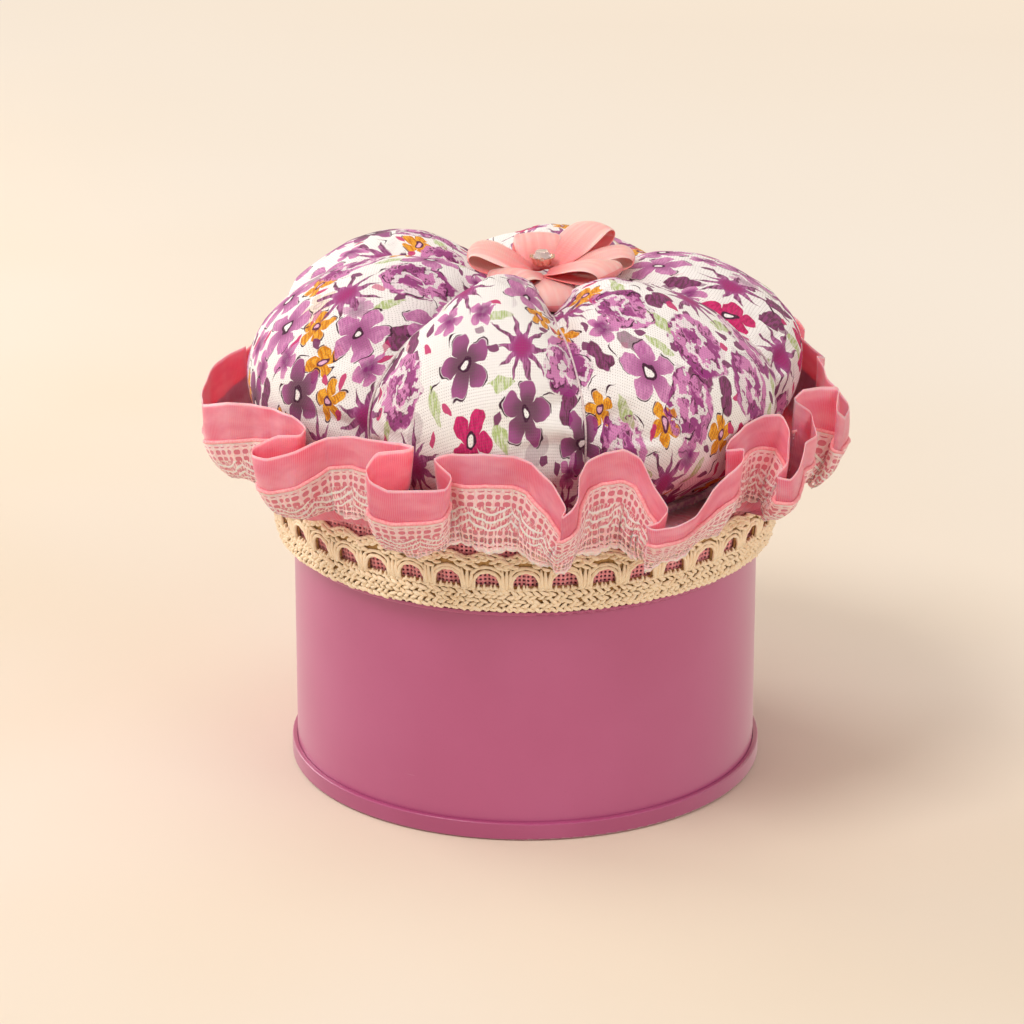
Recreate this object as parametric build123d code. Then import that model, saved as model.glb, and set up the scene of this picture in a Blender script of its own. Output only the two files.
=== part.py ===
from build123d import *

import math
import os

# Pincushion tin: a round painted tin whose slip lid carries a crochet trim, a gathered
# ruffle of satin and lace, a stuffed cushion drawn into six segments and a ribbon flower.
# Lengths are in millimetres. Z is up, the front is -Y, and the origin is the centre of
# the foot ring where the tin stands on the table.

# Tin
PLATE = 0.4
WALL_RADIUS = 43.0
WALL_HEIGHT = 57.3
RIM_CURL_RADIUS = 0.7
SEAM_REACH = 1.0
SEAM_HEIGHT = 3.2
SEAM_PLAY = 0.1
SEAM_CORNER = 0.3
PANEL_SINK = 2.6

# Lid
LID_PLAY = 0.35
LID_HEAD_PLAY = 0.3
LID_DEPTH = 14.4
LID_CORNER = 0.8
HEM_RADIUS = 0.5
HEM_TAIL = 0.3

# Crochet trim round the lid's skirt
TRIM_HEIGHT = 12.4
TRIM_THICKNESS = 1.3
TRIM_FLARE = 2.4
TRIM_PLAY = 0.3
TRIM_ROOM_UNDER = 0.8
OPENING_COUNT = 42
OPENING_WIDTH = 3.9
OPENING_HEIGHT = 2.9
OPENING_SILL = 5.0
SCALLOP_DEPTH = 1.1
SCALLOP_WIDTH = 3.4

# Lace footing: the band behind the trim and the gathers that stand on the lid's edge
FOOTING_START = 2.3
FOOTING_PLAY = 0.2
FOOTING_HEAD = 4.0
FOOTING_HEAD_WIDTH = 1.5
FOOTING_HEAD_PLAY = 0.4

# Ruffle: satin above its gathering thread, lace below it. Each fold has the azimuths of
# its start, nose, tail and end, its nose's reach beyond the cushion and its rise.
FOLDS = (
    (-100.0, -80.0, -73.0, -60.0, 9.2, 13.5),
    (-57.5, -53.0, -46.0, -40.5, 9.8, 12.4),
    (-31.0, -26.5, -18.5, -13.0, 10.0, 13.0),
    (0.5, 5.2, 7.6, 11.6, 9.9, 9.2),
    (19.0, 23.0, 29.5, 39.5, 10.2, 6.2),
    (43.5, 48.0, 59.0, 65.0, 10.0, 9.8),
    (67.0, 72.0, 78.0, 90.0, 9.2, 14.5),
    (93.5, 98.5, 104.0, 110.0, 6.6, 14.0),
    (115.0, 119.0, 125.0, 129.5, 9.8, 12.6),
    (138.0, 142.2, 144.4, 149.5, 9.9, 9.2),
    (153.5, 157.5, 162.5, 169.0, 10.2, 6.8),
    (174.5, 179.0, 185.0, 189.0, 9.8, 12.6),
    (192.0, 196.8, 199.0, 203.0, 9.9, 9.2),
    (207.0, 211.0, 217.0, 221.5, 9.8, 12.6),
    (226.0, 232.0, 237.0, 241.0, 10.2, 6.8),
    (244.0, 248.5, 252.5, 257.0, 6.2, 12.2),
)
TAIL_SETBACK = 0.8
TAIL_SHARE = 0.12
FOLD_LEVELS = ((0.69, 0.3, 0.12), (0.94, 0.65, 0.47))
GATHER_OVERHANG = 0.05
GATHER_WAVE = 0.4
GATHER_RISE = 1.75
THREAD_RADIUS = 0.3
STRIP_PLAY = 0.1
THREAD_SIDES = 6
SATIN_THICKNESS = 0.8
SATIN_INNER_REACH = 2.2
SATIN_INNER_RISE = 17.4
LACE_THICKNESS = 0.5
LACE_INNER_REACH = 1.9
LACE_INNER_DROP = 2.6
LACE_OUTER_REACH = 7.4
LACE_OUTER_DROP = 1.2

# Cushion
DISC_SETBACK = 3.75
DISC_THICKNESS = 1.5
CREASE_ANGLES = (-37.0, 13.0, 75.0, 137.0, 199.0, 261.0)
CUSHION_TUCK = 1.0
CUSHION_BULGE = 2.5
CUSHION_SIDE_RISE = 17.5
CREST_RADIUS = 24.5
CREST_RISE = 35.8
CREST_LEAN = 3.3
HIGHEST_CREST = -25.0
CREASE_DEPTH = 4.3
CREASE_DROP_SHARE = 0.33
LOBE_FULLNESS = 2.6
DIMPLE_RADIUS = 2.0
DIMPLE_RISE = 25.5
DIMPLE_SHIFT = 3.0
COVER_THICKNESS = 0.8
STUFFING_PLAY = 0.2
SEGMENT_SPANS = 6
SEGMENT_THREAD_RADIUS = 0.35
SEGMENT_THREAD_PLAY = 0.5
SEGMENT_THREAD_SIDES = 4
SEGMENT_THREAD_START = 1.2

# Ribbon flower
PETAL_DIRECTIONS = (-84.0, -31.0, 12.0, 55.0, 97.0, 155.0, 210.0)
FLOWER_SEAT_PLAY = 0.8
BACKING_RADIUS = 5.0
BACKING_THICKNESS = 1.2
PETAL_ROOT = 1.4
PETAL_LENGTH = 14.2
PETAL_WIDTH = 8.6
PETAL_THICKNESS = 2.0
PETAL_TILT = 21.0
PETAL_LAYER_RISE = 1.3
PETAL_PLAY = 0.3
STUD_RADIUS = 2.3
CUP_HEIGHT = 1.4
CUP_WALL = 0.3
PRONG_COUNT = 4
PRONG_WIDTH = 0.6
STONE_HEIGHT = 1.7
STONE_TABLE = 0.6
STONE_FACETS = 8
STONE_PLAY = 0.1

# Places worked out from the sizes above
wall_inside = WALL_RADIUS - PLATE
lid_top = WALL_HEIGHT + LID_HEAD_PLAY + PLATE
skirt_inside = WALL_RADIUS + LID_PLAY
skirt_outside = skirt_inside + PLATE
skirt_edge = lid_top - LID_DEPTH
hem_top = skirt_edge + HEM_RADIUS + HEM_TAIL
trim_bottom = hem_top + TRIM_ROOM_UNDER
trim_top = trim_bottom + TRIM_HEIGHT
trim_inside = skirt_outside + TRIM_PLAY
trim_slope = TRIM_FLARE / TRIM_HEIGHT
gather_radius = trim_inside + TRIM_FLARE + TRIM_THICKNESS + GATHER_OVERHANG
gather_z = lid_top + GATHER_RISE
disc_radius = skirt_outside - DISC_SETBACK
cushion_base = disc_radius - CUSHION_TUCK
cushion_side = gather_radius + CUSHION_BULGE
cushion_bottom = lid_top + DISC_THICKNESS
side_z = cushion_bottom + CUSHION_SIDE_RISE
crest_z = cushion_bottom + CREST_RISE
dimple_z = cushion_bottom + DIMPLE_RISE


def revolved(outline):
    """A ring or dish from a closed outline in the plane of radius and height."""
    return revolve(Plane.XZ * make_face(outline), Axis.Z)


def joined(*corners):
    """Straight lines through the corners, each a radius and a height."""
    return Polyline(*corners).edges()


def around(azimuth, radius, height):
    """A point at an azimuth counted in degrees from the front towards +X."""
    turn = math.radians(azimuth)
    return Vector(radius * math.sin(turn), -radius * math.cos(turn), height)


# Tin


def tin_wall():
    """Rolled wall with a flange in the base seam and a rim curled inwards."""
    curl_z = WALL_HEIGHT - RIM_CURL_RADIUS
    curl_r = WALL_RADIUS - RIM_CURL_RADIUS
    flange_r = WALL_RADIUS + SEAM_REACH - PLATE - SEAM_PLAY
    flange_z = PLATE + SEAM_PLAY
    rim = CenterArc((curl_r, curl_z), RIM_CURL_RADIUS, 0, 270)
    sheet = joined(
        (WALL_RADIUS, curl_z),
        (WALL_RADIUS, flange_z + PLATE),
        (flange_r, flange_z + PLATE),
        (flange_r, flange_z),
        (wall_inside, flange_z),
        (wall_inside, curl_z - RIM_CURL_RADIUS),
        (curl_r, curl_z - RIM_CURL_RADIUS),
    )
    return revolved(rim.edges() + sheet)


def tin_base():
    """Sunk end panel whose edge wraps the wall's flange in the seam that shows."""
    chuck_outside = wall_inside - SEAM_PLAY
    chuck_inside = chuck_outside - PLATE
    seam_outside = WALL_RADIUS + SEAM_REACH
    seam_inside = seam_outside - PLATE
    lip_inside = WALL_RADIUS + SEAM_PLAY
    end = joined(
        (0, PANEL_SINK + PLATE),
        (chuck_outside, PANEL_SINK + PLATE),
        (chuck_outside, PLATE),
        (seam_inside, PLATE),
        (seam_inside, SEAM_HEIGHT - PLATE),
        (lip_inside, SEAM_HEIGHT - PLATE),
        (lip_inside, SEAM_HEIGHT),
        (seam_outside - SEAM_CORNER, SEAM_HEIGHT),
    )
    top_corner = CenterArc((seam_outside - SEAM_CORNER, SEAM_HEIGHT - SEAM_CORNER), SEAM_CORNER, 0, 90)
    side = joined((seam_outside, SEAM_HEIGHT - SEAM_CORNER), (seam_outside, SEAM_CORNER))
    foot_corner = CenterArc((seam_outside - SEAM_CORNER, SEAM_CORNER), SEAM_CORNER, 270, 90)
    foot = joined((seam_outside - SEAM_CORNER, 0), (chuck_inside + SEAM_CORNER, 0))
    inner_corner = CenterArc((chuck_inside + SEAM_CORNER, SEAM_CORNER), SEAM_CORNER, 180, 90)
    under = joined(
        (chuck_inside, SEAM_CORNER),
        (chuck_inside, PANEL_SINK),
        (0, PANEL_SINK),
        (0, PANEL_SINK + PLATE),
    )
    corners = top_corner.edges() + foot_corner.edges() + inner_corner.edges()
    return revolved(end + side + foot + under + corners)


# Lid


def lid_shell():
    """Flat panel and skirt, with a rounded corner and a hem rolled outwards."""
    corner_r = skirt_outside - LID_CORNER
    corner_z = lid_top - LID_CORNER
    hem_r = skirt_inside + HEM_RADIUS
    hem_z = skirt_edge + HEM_RADIUS
    panel = joined((0, lid_top - PLATE), (0, lid_top), (corner_r, lid_top))
    outer_corner = CenterArc((corner_r, corner_z), LID_CORNER, 0, 90)
    inner_corner = CenterArc((corner_r, corner_z), LID_CORNER - PLATE, 0, 90)
    outer_skirt = joined(
        (skirt_outside, corner_z),
        (skirt_outside, hem_z + HEM_TAIL),
        (hem_r + HEM_RADIUS, hem_z + HEM_TAIL),
        (hem_r + HEM_RADIUS, hem_z),
    )
    hem = CenterArc((hem_r, hem_z), HEM_RADIUS, 180, 180)
    inner_skirt = joined((skirt_inside, hem_z), (skirt_inside, corner_z))
    under_panel = joined((corner_r, lid_top - PLATE), (0, lid_top - PLATE))
    arcs = outer_corner.edges() + inner_corner.edges() + hem.edges()
    return revolved(panel + outer_skirt + inner_skirt + under_panel + arcs)


def trim_radius(height):
    """Inside radius of the leaning trim at a height."""
    return trim_inside + trim_slope * (height - trim_bottom)


def crochet_trim():
    """Leaning band with a row of arched openings and a scalloped upper edge."""
    lower = trim_radius(trim_bottom)
    upper = trim_radius(trim_top)
    step = 360 / OPENING_COUNT
    section = make_face(
        joined(
            (lower, trim_bottom),
            (lower + TRIM_THICKNESS, trim_bottom),
            (upper + TRIM_THICKNESS, trim_top),
            (upper, trim_top),
            (lower, trim_bottom),
        )
    )
    sector = Rotation(0, 0, -step / 2) * revolve(Plane.XZ * section, Axis.Z, revolution_arc=step)
    sill = trim_bottom + OPENING_SILL
    half = OPENING_WIDTH / 2
    arch = ThreePointArc((half, sill), (0, sill + OPENING_HEIGHT), (-half, sill))
    opening = make_face(arch.edges() + Line((-half, sill), (half, sill)).edges())
    dip_half = SCALLOP_WIDTH / 2
    dip_edge = trim_top + SCALLOP_DEPTH
    dip = ThreePointArc((dip_half, dip_edge), (0, trim_top - SCALLOP_DEPTH), (-dip_half, dip_edge))
    scallop = make_face(dip.edges() + Line((-dip_half, dip_edge), (dip_half, dip_edge)).edges())
    reach = upper + 2 * TRIM_THICKNESS
    opening_cutter = extrude(Plane.YZ * opening, reach)
    scallop_cutter = extrude(Plane.YZ * scallop, reach)
    sector -= opening_cutter
    sector -= Rotation(0, 0, step / 2) * scallop_cutter
    sector -= Rotation(0, 0, -step / 2) * scallop_cutter
    skin = [face for face in sector.faces() if not is_upright_plane(face)]
    faces = []
    for index in range(OPENING_COUNT):
        for face in skin:
            faces.append((Rotation(0, 0, index * step) * face).face())
    return Solid(Shell(faces))


def is_upright_plane(face):
    """Whether a face is flat and stands upright, as a sector's cut ends do."""
    return face.geom_type == GeomType.PLANE and abs(face.normal_at().Z) < 0.001


def lace_footing():
    """Band of lace behind the trim that ends in the gathers on the lid's edge."""
    inner = skirt_outside + SEAM_PLAY
    start = trim_bottom + FOOTING_START
    head_outside = gather_radius - GATHER_WAVE - SATIN_THICKNESS / 2 - FOOTING_HEAD_PLAY
    head_inside = head_outside - FOOTING_HEAD_WIDTH
    return revolved(
        joined(
            (inner, start),
            (trim_radius(start) - FOOTING_PLAY, start),
            (trim_radius(trim_top) - FOOTING_PLAY, trim_top),
            (head_outside, lid_top + FOOTING_PLAY),
            (head_outside, lid_top + FOOTING_HEAD),
            (head_inside, lid_top + FOOTING_HEAD),
            (head_inside, lid_top + FOOTING_PLAY),
            (inner, lid_top),
            (inner, start),
        )
    )


# Ruffle


def ring_curve(start, end):
    """Curve between two places that leaves both along their rings.

    A place is an azimuth, a radius and a height.
    """
    reach = math.radians(end[0] - start[0]) * (start[1] + end[1]) / 4
    turns = [math.radians(place[0]) for place in (start, end)]
    ahead, behind = [Vector(math.cos(turn), math.sin(turn), 0) * reach for turn in turns]
    first, last = around(*start), around(*end)
    return Bezier(first, first + ahead, last - behind, last).edge()


def folded_edge(inner, outers, inset):
    """Edges of one line along a strip, out over each fold and on to the next one.

    inner is the radius and height between the folds, and outers holds those of each
    fold's nose.
    """
    radius, height = inner
    edges = []
    following = FOLDS[1:] + (FOLDS[0],)
    for fold, neighbour, (nose_r, nose_z) in zip(FOLDS, following, outers):
        start, nose, tail, end = fold[:4]
        after = neighbour[0] + (360 if neighbour[0] < end else 0)
        setback = min(TAIL_SETBACK, (nose_r - radius) * TAIL_SHARE)
        places = (
            (start, radius - inset, height),
            (nose, nose_r - inset, nose_z),
            (tail, nose_r - setback - inset, nose_z),
            (end, radius - inset, height),
            (after, radius - inset, height),
        )
        edges += [ring_curve(place, other) for place, other in zip(places, places[1:])]
    return edges


def gathered_strip(lines, thickness):
    """Closed strip over lines that follow its folds, each as folded_edge takes them."""
    rails = [folded_edge(*line, 0) for line in lines]
    rails += [folded_edge(*line, thickness) for line in reversed(lines)]
    faces = []
    for rail, following in zip(rails, rails[1:] + rails[:1]):
        for edge, neighbour in zip(rail, following):
            faces.append(Face.make_surface_from_curves(edge, neighbour))
    return Solid(Shell(faces))


def strip_gather(thickness, height):
    """Line along which a strip is gathered."""
    outside = gather_radius + thickness / 2
    return (outside - GATHER_WAVE, height), [(outside + GATHER_WAVE, height)] * len(FOLDS)


def partway(start, end, reach_share, rise_share):
    """Radius and height some way from one place to another."""
    return start[0] + reach_share * (end[0] - start[0]), start[1] + rise_share * (end[1] - start[1])


def ruffle_satin():
    """Satin strip that stands up round the cushion and opens outwards in cups."""
    height = gather_z + THREAD_RADIUS + STRIP_PLAY
    gather_in, gathers = strip_gather(SATIN_THICKNESS, height)
    inner = (cushion_side + SATIN_INNER_REACH, gather_z + SATIN_INNER_RISE)
    outers = [(cushion_side + fold[4], gather_z + fold[5]) for fold in FOLDS]
    lines = [(gather_in, gathers)]
    for reach, rise_in, rise_out in FOLD_LEVELS:
        middles = [partway(gather, outer, reach, rise_out) for gather, outer in zip(gathers, outers)]
        lines.append((partway(gather_in, inner, reach, rise_in), middles))
    lines.append((inner, outers))
    return gathered_strip(lines, SATIN_THICKNESS)


def ruffle_lace():
    """Lace strip that falls over the crochet trim in the same folds."""
    height = gather_z - THREAD_RADIUS - STRIP_PLAY
    inner = (gather_radius + LACE_INNER_REACH, gather_z - LACE_INNER_DROP)
    outer = (gather_radius + LACE_OUTER_REACH, gather_z - LACE_OUTER_DROP)
    return gathered_strip(
        [strip_gather(LACE_THICKNESS, height), (inner, [outer] * len(FOLDS))], LACE_THICKNESS
    )


def gathering_thread():
    """Thread that draws the ruffle in between its satin and its lace."""
    section = Pos(gather_radius, gather_z) * RegularPolygon(THREAD_RADIUS, THREAD_SIDES)
    return revolve(Plane.XZ * section, Axis.Z)


# Cushion


def cushion_disc():
    """Card disc that the cushion's cover is drawn over."""
    return Pos(0, 0, lid_top) * Cylinder(
        disc_radius, DISC_THICKNESS, align=(Align.CENTER, Align.CENTER, Align.MIN)
    )


def arc_points(centre, radius, start, end):
    """Start, middle and end of an arc in the plane of radius and height."""
    points = []
    for angle in (start, (start + end) / 2, end):
        points.append((centre[0] + radius * math.cos(angle), centre[1] + radius * math.sin(angle)))
    return points


def crest_rise(azimuth):
    """Height of a full segment above the cushion's widest level."""
    return crest_z - side_z + CREST_LEAN * math.cos(math.radians(azimuth - HIGHEST_CREST))


def cushion_profile(azimuth, fullness, outset, start_z, end_z):
    """Tangent arcs from the drawn-in bottom over the crest into the dimple.

    fullness is 1 in the middle of a segment and 0 in a crease, and outset moves the
    whole profile outwards.
    """
    side_r = cushion_side - CREASE_DEPTH * (1 - fullness)
    top_z = side_z + crest_rise(azimuth) * (1 - CREASE_DROP_SHARE * (1 - fullness))
    drawn_in = side_r - cushion_base
    across = side_r - CREST_RADIUS
    rise = top_z - side_z
    sink = top_z - dimple_z
    inwards = CREST_RADIUS - DIMPLE_RADIUS
    lower = (drawn_in**2 + CUSHION_SIDE_RISE**2) / (2 * drawn_in)
    shoulder = rise**2 / across
    crown = across * (across + rise) / (2 * rise)
    hollow = (inwards**2 + sink**2) / (2 * sink)
    turn = math.atan2(side_z - top_z + crown, side_r - shoulder - CREST_RADIUS)
    foot = math.asin((start_z - side_z) / (lower + outset))
    mouth = math.pi - math.asin((end_z - top_z + hollow) / (hollow + outset))
    top = math.pi / 2
    return [
        arc_points((side_r - lower, side_z), lower + outset, foot, 0),
        arc_points((side_r - shoulder, side_z), shoulder + outset, 0, turn),
        arc_points((CREST_RADIUS, top_z - crown), crown + outset, turn, top),
        arc_points((CREST_RADIUS, top_z - hollow), hollow + outset, top, mouth),
    ]


def towards_dimple(azimuth, radius, height):
    """A point of the cushion, carried along inside the crest as the dimple is off centre."""
    share = max(0, (CREST_RADIUS - radius) / (CREST_RADIUS - DIMPLE_RADIUS))
    return around(azimuth, radius, height) + Vector(DIMPLE_SHIFT * share, 0, 0)


def raised(profile, azimuth):
    """The profile's arcs as edges standing at an azimuth."""
    edges = []
    for points in profile:
        edges.append(ThreePointArc(*[towards_dimple(azimuth, r, z) for r, z in points]).edge())
    return edges


def segmented_body(inset):
    """Closed six-segment form, a distance inside the cover's outer face."""
    bottom = cushion_bottom + inset
    top = dimple_z - inset
    ribs = []
    following = CREASE_ANGLES[1:] + (CREASE_ANGLES[0] + 360,)
    for start, end in zip(CREASE_ANGLES, following):
        for index in range(SEGMENT_SPANS):
            share = index / SEGMENT_SPANS
            fullness = 1 - abs(2 * share - 1) ** LOBE_FULLNESS
            azimuth = start + share * (end - start)
            profile = cushion_profile(azimuth, fullness, -inset, bottom, top)
            ribs.append(raised(profile, azimuth))
    faces = []
    for rib, neighbour in zip(ribs, ribs[1:] + ribs[:1]):
        for edge, across in zip(rib, neighbour):
            faces.append(Face.make_surface_from_curves(edge, across))
    underside = Polyline(*[rib[0] @ 0 for rib in ribs], close=True)
    core = Polyline(*[rib[-1] @ 1 for rib in ribs], close=True)
    faces.append(make_face(underside.edges()).face())
    faces.append(make_face(core.edges()).face())
    return Solid(Shell(faces))


def cushion_cover():
    """Printed cotton cover, one hollow skin."""
    return segmented_body(0) - segmented_body(COVER_THICKNESS)


def cushion_stuffing():
    """Fibre filling that holds the cover out."""
    return segmented_body(COVER_THICKNESS + STUFFING_PLAY)


def segment_threads():
    """Six drawn threads, one down each crease."""
    outset = SEGMENT_THREAD_RADIUS + SEGMENT_THREAD_PLAY
    start = cushion_bottom + SEGMENT_THREAD_START
    threads = []
    for azimuth in CREASE_ANGLES:
        profile = cushion_profile(azimuth, 0, outset, start, dimple_z + outset)
        path = Wire(raised(profile, azimuth))
        plane = Plane(origin=path @ 0, z_dir=path % 0)
        section = plane * RegularPolygon(SEGMENT_THREAD_RADIUS, SEGMENT_THREAD_SIDES)
        threads.append(sweep(section, path=path))
    return Compound(children=threads)


# Ribbon flower


def lobe_height(radius):
    """Height of the highest segment's top inside its crest."""
    top_z = crest_z + CREST_LEAN
    sink = top_z - dimple_z
    hollow = ((CREST_RADIUS - DIMPLE_RADIUS) ** 2 + sink**2) / (2 * sink)
    return top_z - hollow + math.sqrt(hollow**2 - (CREST_RADIUS - radius) ** 2)


backing_z = lobe_height(BACKING_RADIUS) + FLOWER_SEAT_PLAY
petal_z = backing_z + BACKING_THICKNESS + PETAL_PLAY


def flower_backing():
    """Felt disc that the petals are fixed to, over the dimple."""
    return Pos(DIMPLE_SHIFT, 0, backing_z) * Cylinder(
        BACKING_RADIUS, BACKING_THICKNESS, align=(Align.CENTER, Align.CENTER, Align.MIN)
    )


def flower_petal(direction, layer):
    """Puffed loop of satin ribbon, narrow at the hub and round at its end."""
    stations = ((0, 0.12, 0.45), (0.35, 0.6, 0.9), (0.68, 1.0, 1.0), (0.9, 0.8, 0.7), (1.0, 0.4, 0.3))
    sections = []
    for share, width_share, height_share in stations:
        half = PETAL_WIDTH * width_share / 2
        top = PETAL_THICKNESS * height_share
        plane = Plane(origin=(PETAL_ROOT + share * PETAL_LENGTH, 0, 0), x_dir=(0, 1, 0), z_dir=(1, 0, 0))
        upper = ThreePointArc((-half, top / 3), (0, top), (half, top / 3))
        lower = ThreePointArc((half, top / 3), (0, 0), (-half, top / 3))
        sections.append(plane * make_face(upper.edges() + lower.edges()))
    petal = loft(sections, ruled=True)
    root_z = petal_z + layer * PETAL_LAYER_RISE
    root = Pos(DIMPLE_SHIFT, 0, root_z)
    return root * Rotation(0, 0, direction) * Rotation(0, -PETAL_TILT, 0) * petal


def stud_seat():
    """Height of the petals' tops under the edge of the stud."""
    lean = math.tan(math.radians(PETAL_TILT))
    return petal_z + PETAL_LAYER_RISE + STUD_RADIUS * lean + PETAL_THICKNESS / 2 + PETAL_PLAY


def stud_cup():
    """Turned metal cup with prongs that hold the stone."""
    seat = stud_seat()
    foot = STUD_RADIUS - 2 * CUP_WALL
    girdle = seat + CUP_HEIGHT
    dish = revolved(
        joined(
            (0, seat),
            (foot, seat),
            (STUD_RADIUS, girdle),
            (STUD_RADIUS - CUP_WALL, girdle),
            (foot - CUP_WALL, seat + CUP_WALL),
            (0, seat + CUP_WALL),
            (0, seat),
        )
    )
    claw = Pos(STUD_RADIUS - CUP_WALL / 2, 0, girdle) * Box(CUP_WALL, PRONG_WIDTH, 2 * CUP_WALL)
    claws = [Rotation(0, 0, 360 * index / PRONG_COUNT) * claw for index in range(PRONG_COUNT)]
    return Pos(DIMPLE_SHIFT, 0, 0) * (dish + claws)


def stud_stone():
    """Faceted stone: a flat table, a crown, a girdle and a cut-off point below."""
    girdle_z = stud_seat() + CUP_HEIGHT
    girdle_r = STUD_RADIUS - CUP_WALL - STONE_PLAY
    table_r = girdle_r * STONE_TABLE
    base_z = girdle_z - (CUP_HEIGHT - 2 * CUP_WALL) + STONE_PLAY
    levels = (
        (base_z, girdle_r - CUP_HEIGHT + 2 * CUP_WALL),
        (girdle_z, girdle_r - STONE_PLAY),
        (base_z + STONE_HEIGHT, table_r),
    )
    turn = 180 / STONE_FACETS
    centre = DIMPLE_SHIFT
    sections = [Pos(centre, 0, z) * RegularPolygon(r, STONE_FACETS, rotation=turn) for z, r in levels]
    return loft(sections, ruled=True)


def write(name, shape):
    """Write one piece under its node's name."""
    export_step(shape, f"parts/{name}.step")


os.makedirs("parts", exist_ok=True)

write("tin_wall", tin_wall())
write("tin_base", tin_base())
write("lid_shell", lid_shell())
write("crochet_trim", crochet_trim())
write("lace_footing", lace_footing())
write("ruffle_satin", ruffle_satin())
write("ruffle_lace", ruffle_lace())
write("gathering_thread", gathering_thread())
write("cushion_disc", cushion_disc())
write("cushion_cover", cushion_cover())
write("cushion_stuffing", cushion_stuffing())
write("segment_threads", segment_threads())
write("flower_backing", flower_backing())
for number, direction in enumerate(PETAL_DIRECTIONS, start=1):
    write(f"flower_petal_{number}", flower_petal(direction, (number + 1) % 2))
write("stud_cup", stud_cup())
write("stud_stone", stud_stone())
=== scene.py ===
"""Pincushion tin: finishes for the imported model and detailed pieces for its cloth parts.

Lengths are written in millimetres and become metres where a mesh is made. Z is up and
the front is -Y. Azimuths are in degrees, counted from the front towards +X.
"""

import logging
import math
import random
from dataclasses import dataclass, field
from enum import Enum

import bpy
import numpy as np
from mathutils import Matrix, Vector


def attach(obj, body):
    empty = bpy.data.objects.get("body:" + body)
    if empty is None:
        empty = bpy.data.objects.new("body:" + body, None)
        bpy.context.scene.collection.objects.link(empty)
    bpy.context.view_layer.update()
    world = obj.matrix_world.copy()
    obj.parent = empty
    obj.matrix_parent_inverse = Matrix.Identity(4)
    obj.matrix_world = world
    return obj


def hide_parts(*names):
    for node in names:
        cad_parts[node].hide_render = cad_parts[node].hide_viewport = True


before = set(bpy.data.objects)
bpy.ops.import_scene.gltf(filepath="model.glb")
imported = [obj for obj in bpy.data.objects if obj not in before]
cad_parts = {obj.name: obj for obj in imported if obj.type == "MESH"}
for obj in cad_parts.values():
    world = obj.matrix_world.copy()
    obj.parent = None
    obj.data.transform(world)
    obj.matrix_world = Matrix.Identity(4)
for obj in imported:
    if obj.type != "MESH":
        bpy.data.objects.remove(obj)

MM = 0.001
LID_BODY = "lid"
log = logging.getLogger("pincushion_tin")

Colour = tuple[float, float, float, float]
Value = "Signal | float"
Spot = tuple[float, float]


def paint(code: str) -> Colour:
    """Linear colour of an sRGB code.

    Args:
        code: Six hexadecimal digits.

    Returns:
        Red, green, blue and alpha for a colour socket.
    """
    parts = [int(code[at : at + 2], 16) / 255 for at in (0, 2, 4)]
    linear = [part / 12.92 if part <= 0.04045 else ((part + 0.055) / 1.055) ** 2.4 for part in parts]
    return (*linear, 1.0)


def assign(target: object, **values: object) -> None:
    """Sets named properties of one of Blender's own objects.

    Args:
        target: The object.
        values: Its properties by name.
    """
    for key, value in values.items():
        setattr(target, key, value)


class Slot(Enum):
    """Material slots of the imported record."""

    CROCHET_COTTON = "crochet_cotton"
    PINK_LACE = "pink_lace"
    PINK_SATIN = "pink_satin"
    SEWING_THREAD = "sewing_thread"
    PRINTED_COTTON = "printed_cotton"
    FLOWER_SATIN = "flower_satin"


class Share(Enum):
    """Bands of a cell's random number, each of which gives the cell its motif."""

    LEAF = (0.0, 0.3)
    HEART = (0.3, 0.5)
    GOLD_FLOWER = (0.5, 0.72)
    VIOLET_FLOWER = (0.72, 1.01)
    DROP = (0.0, 0.5)
    DASH = (0.5, 0.9)
    BLOOM = (0.0, 0.34)
    DRAWN_BLOOM = (0.0, 0.25)
    ASTER = (0.34, 0.6)
    FIVE_LOBED = (0.6, 0.85)
    ROSE_RED = (0.85, 1.01)
    WITH_HEART = (0.6, 1.01)


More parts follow.
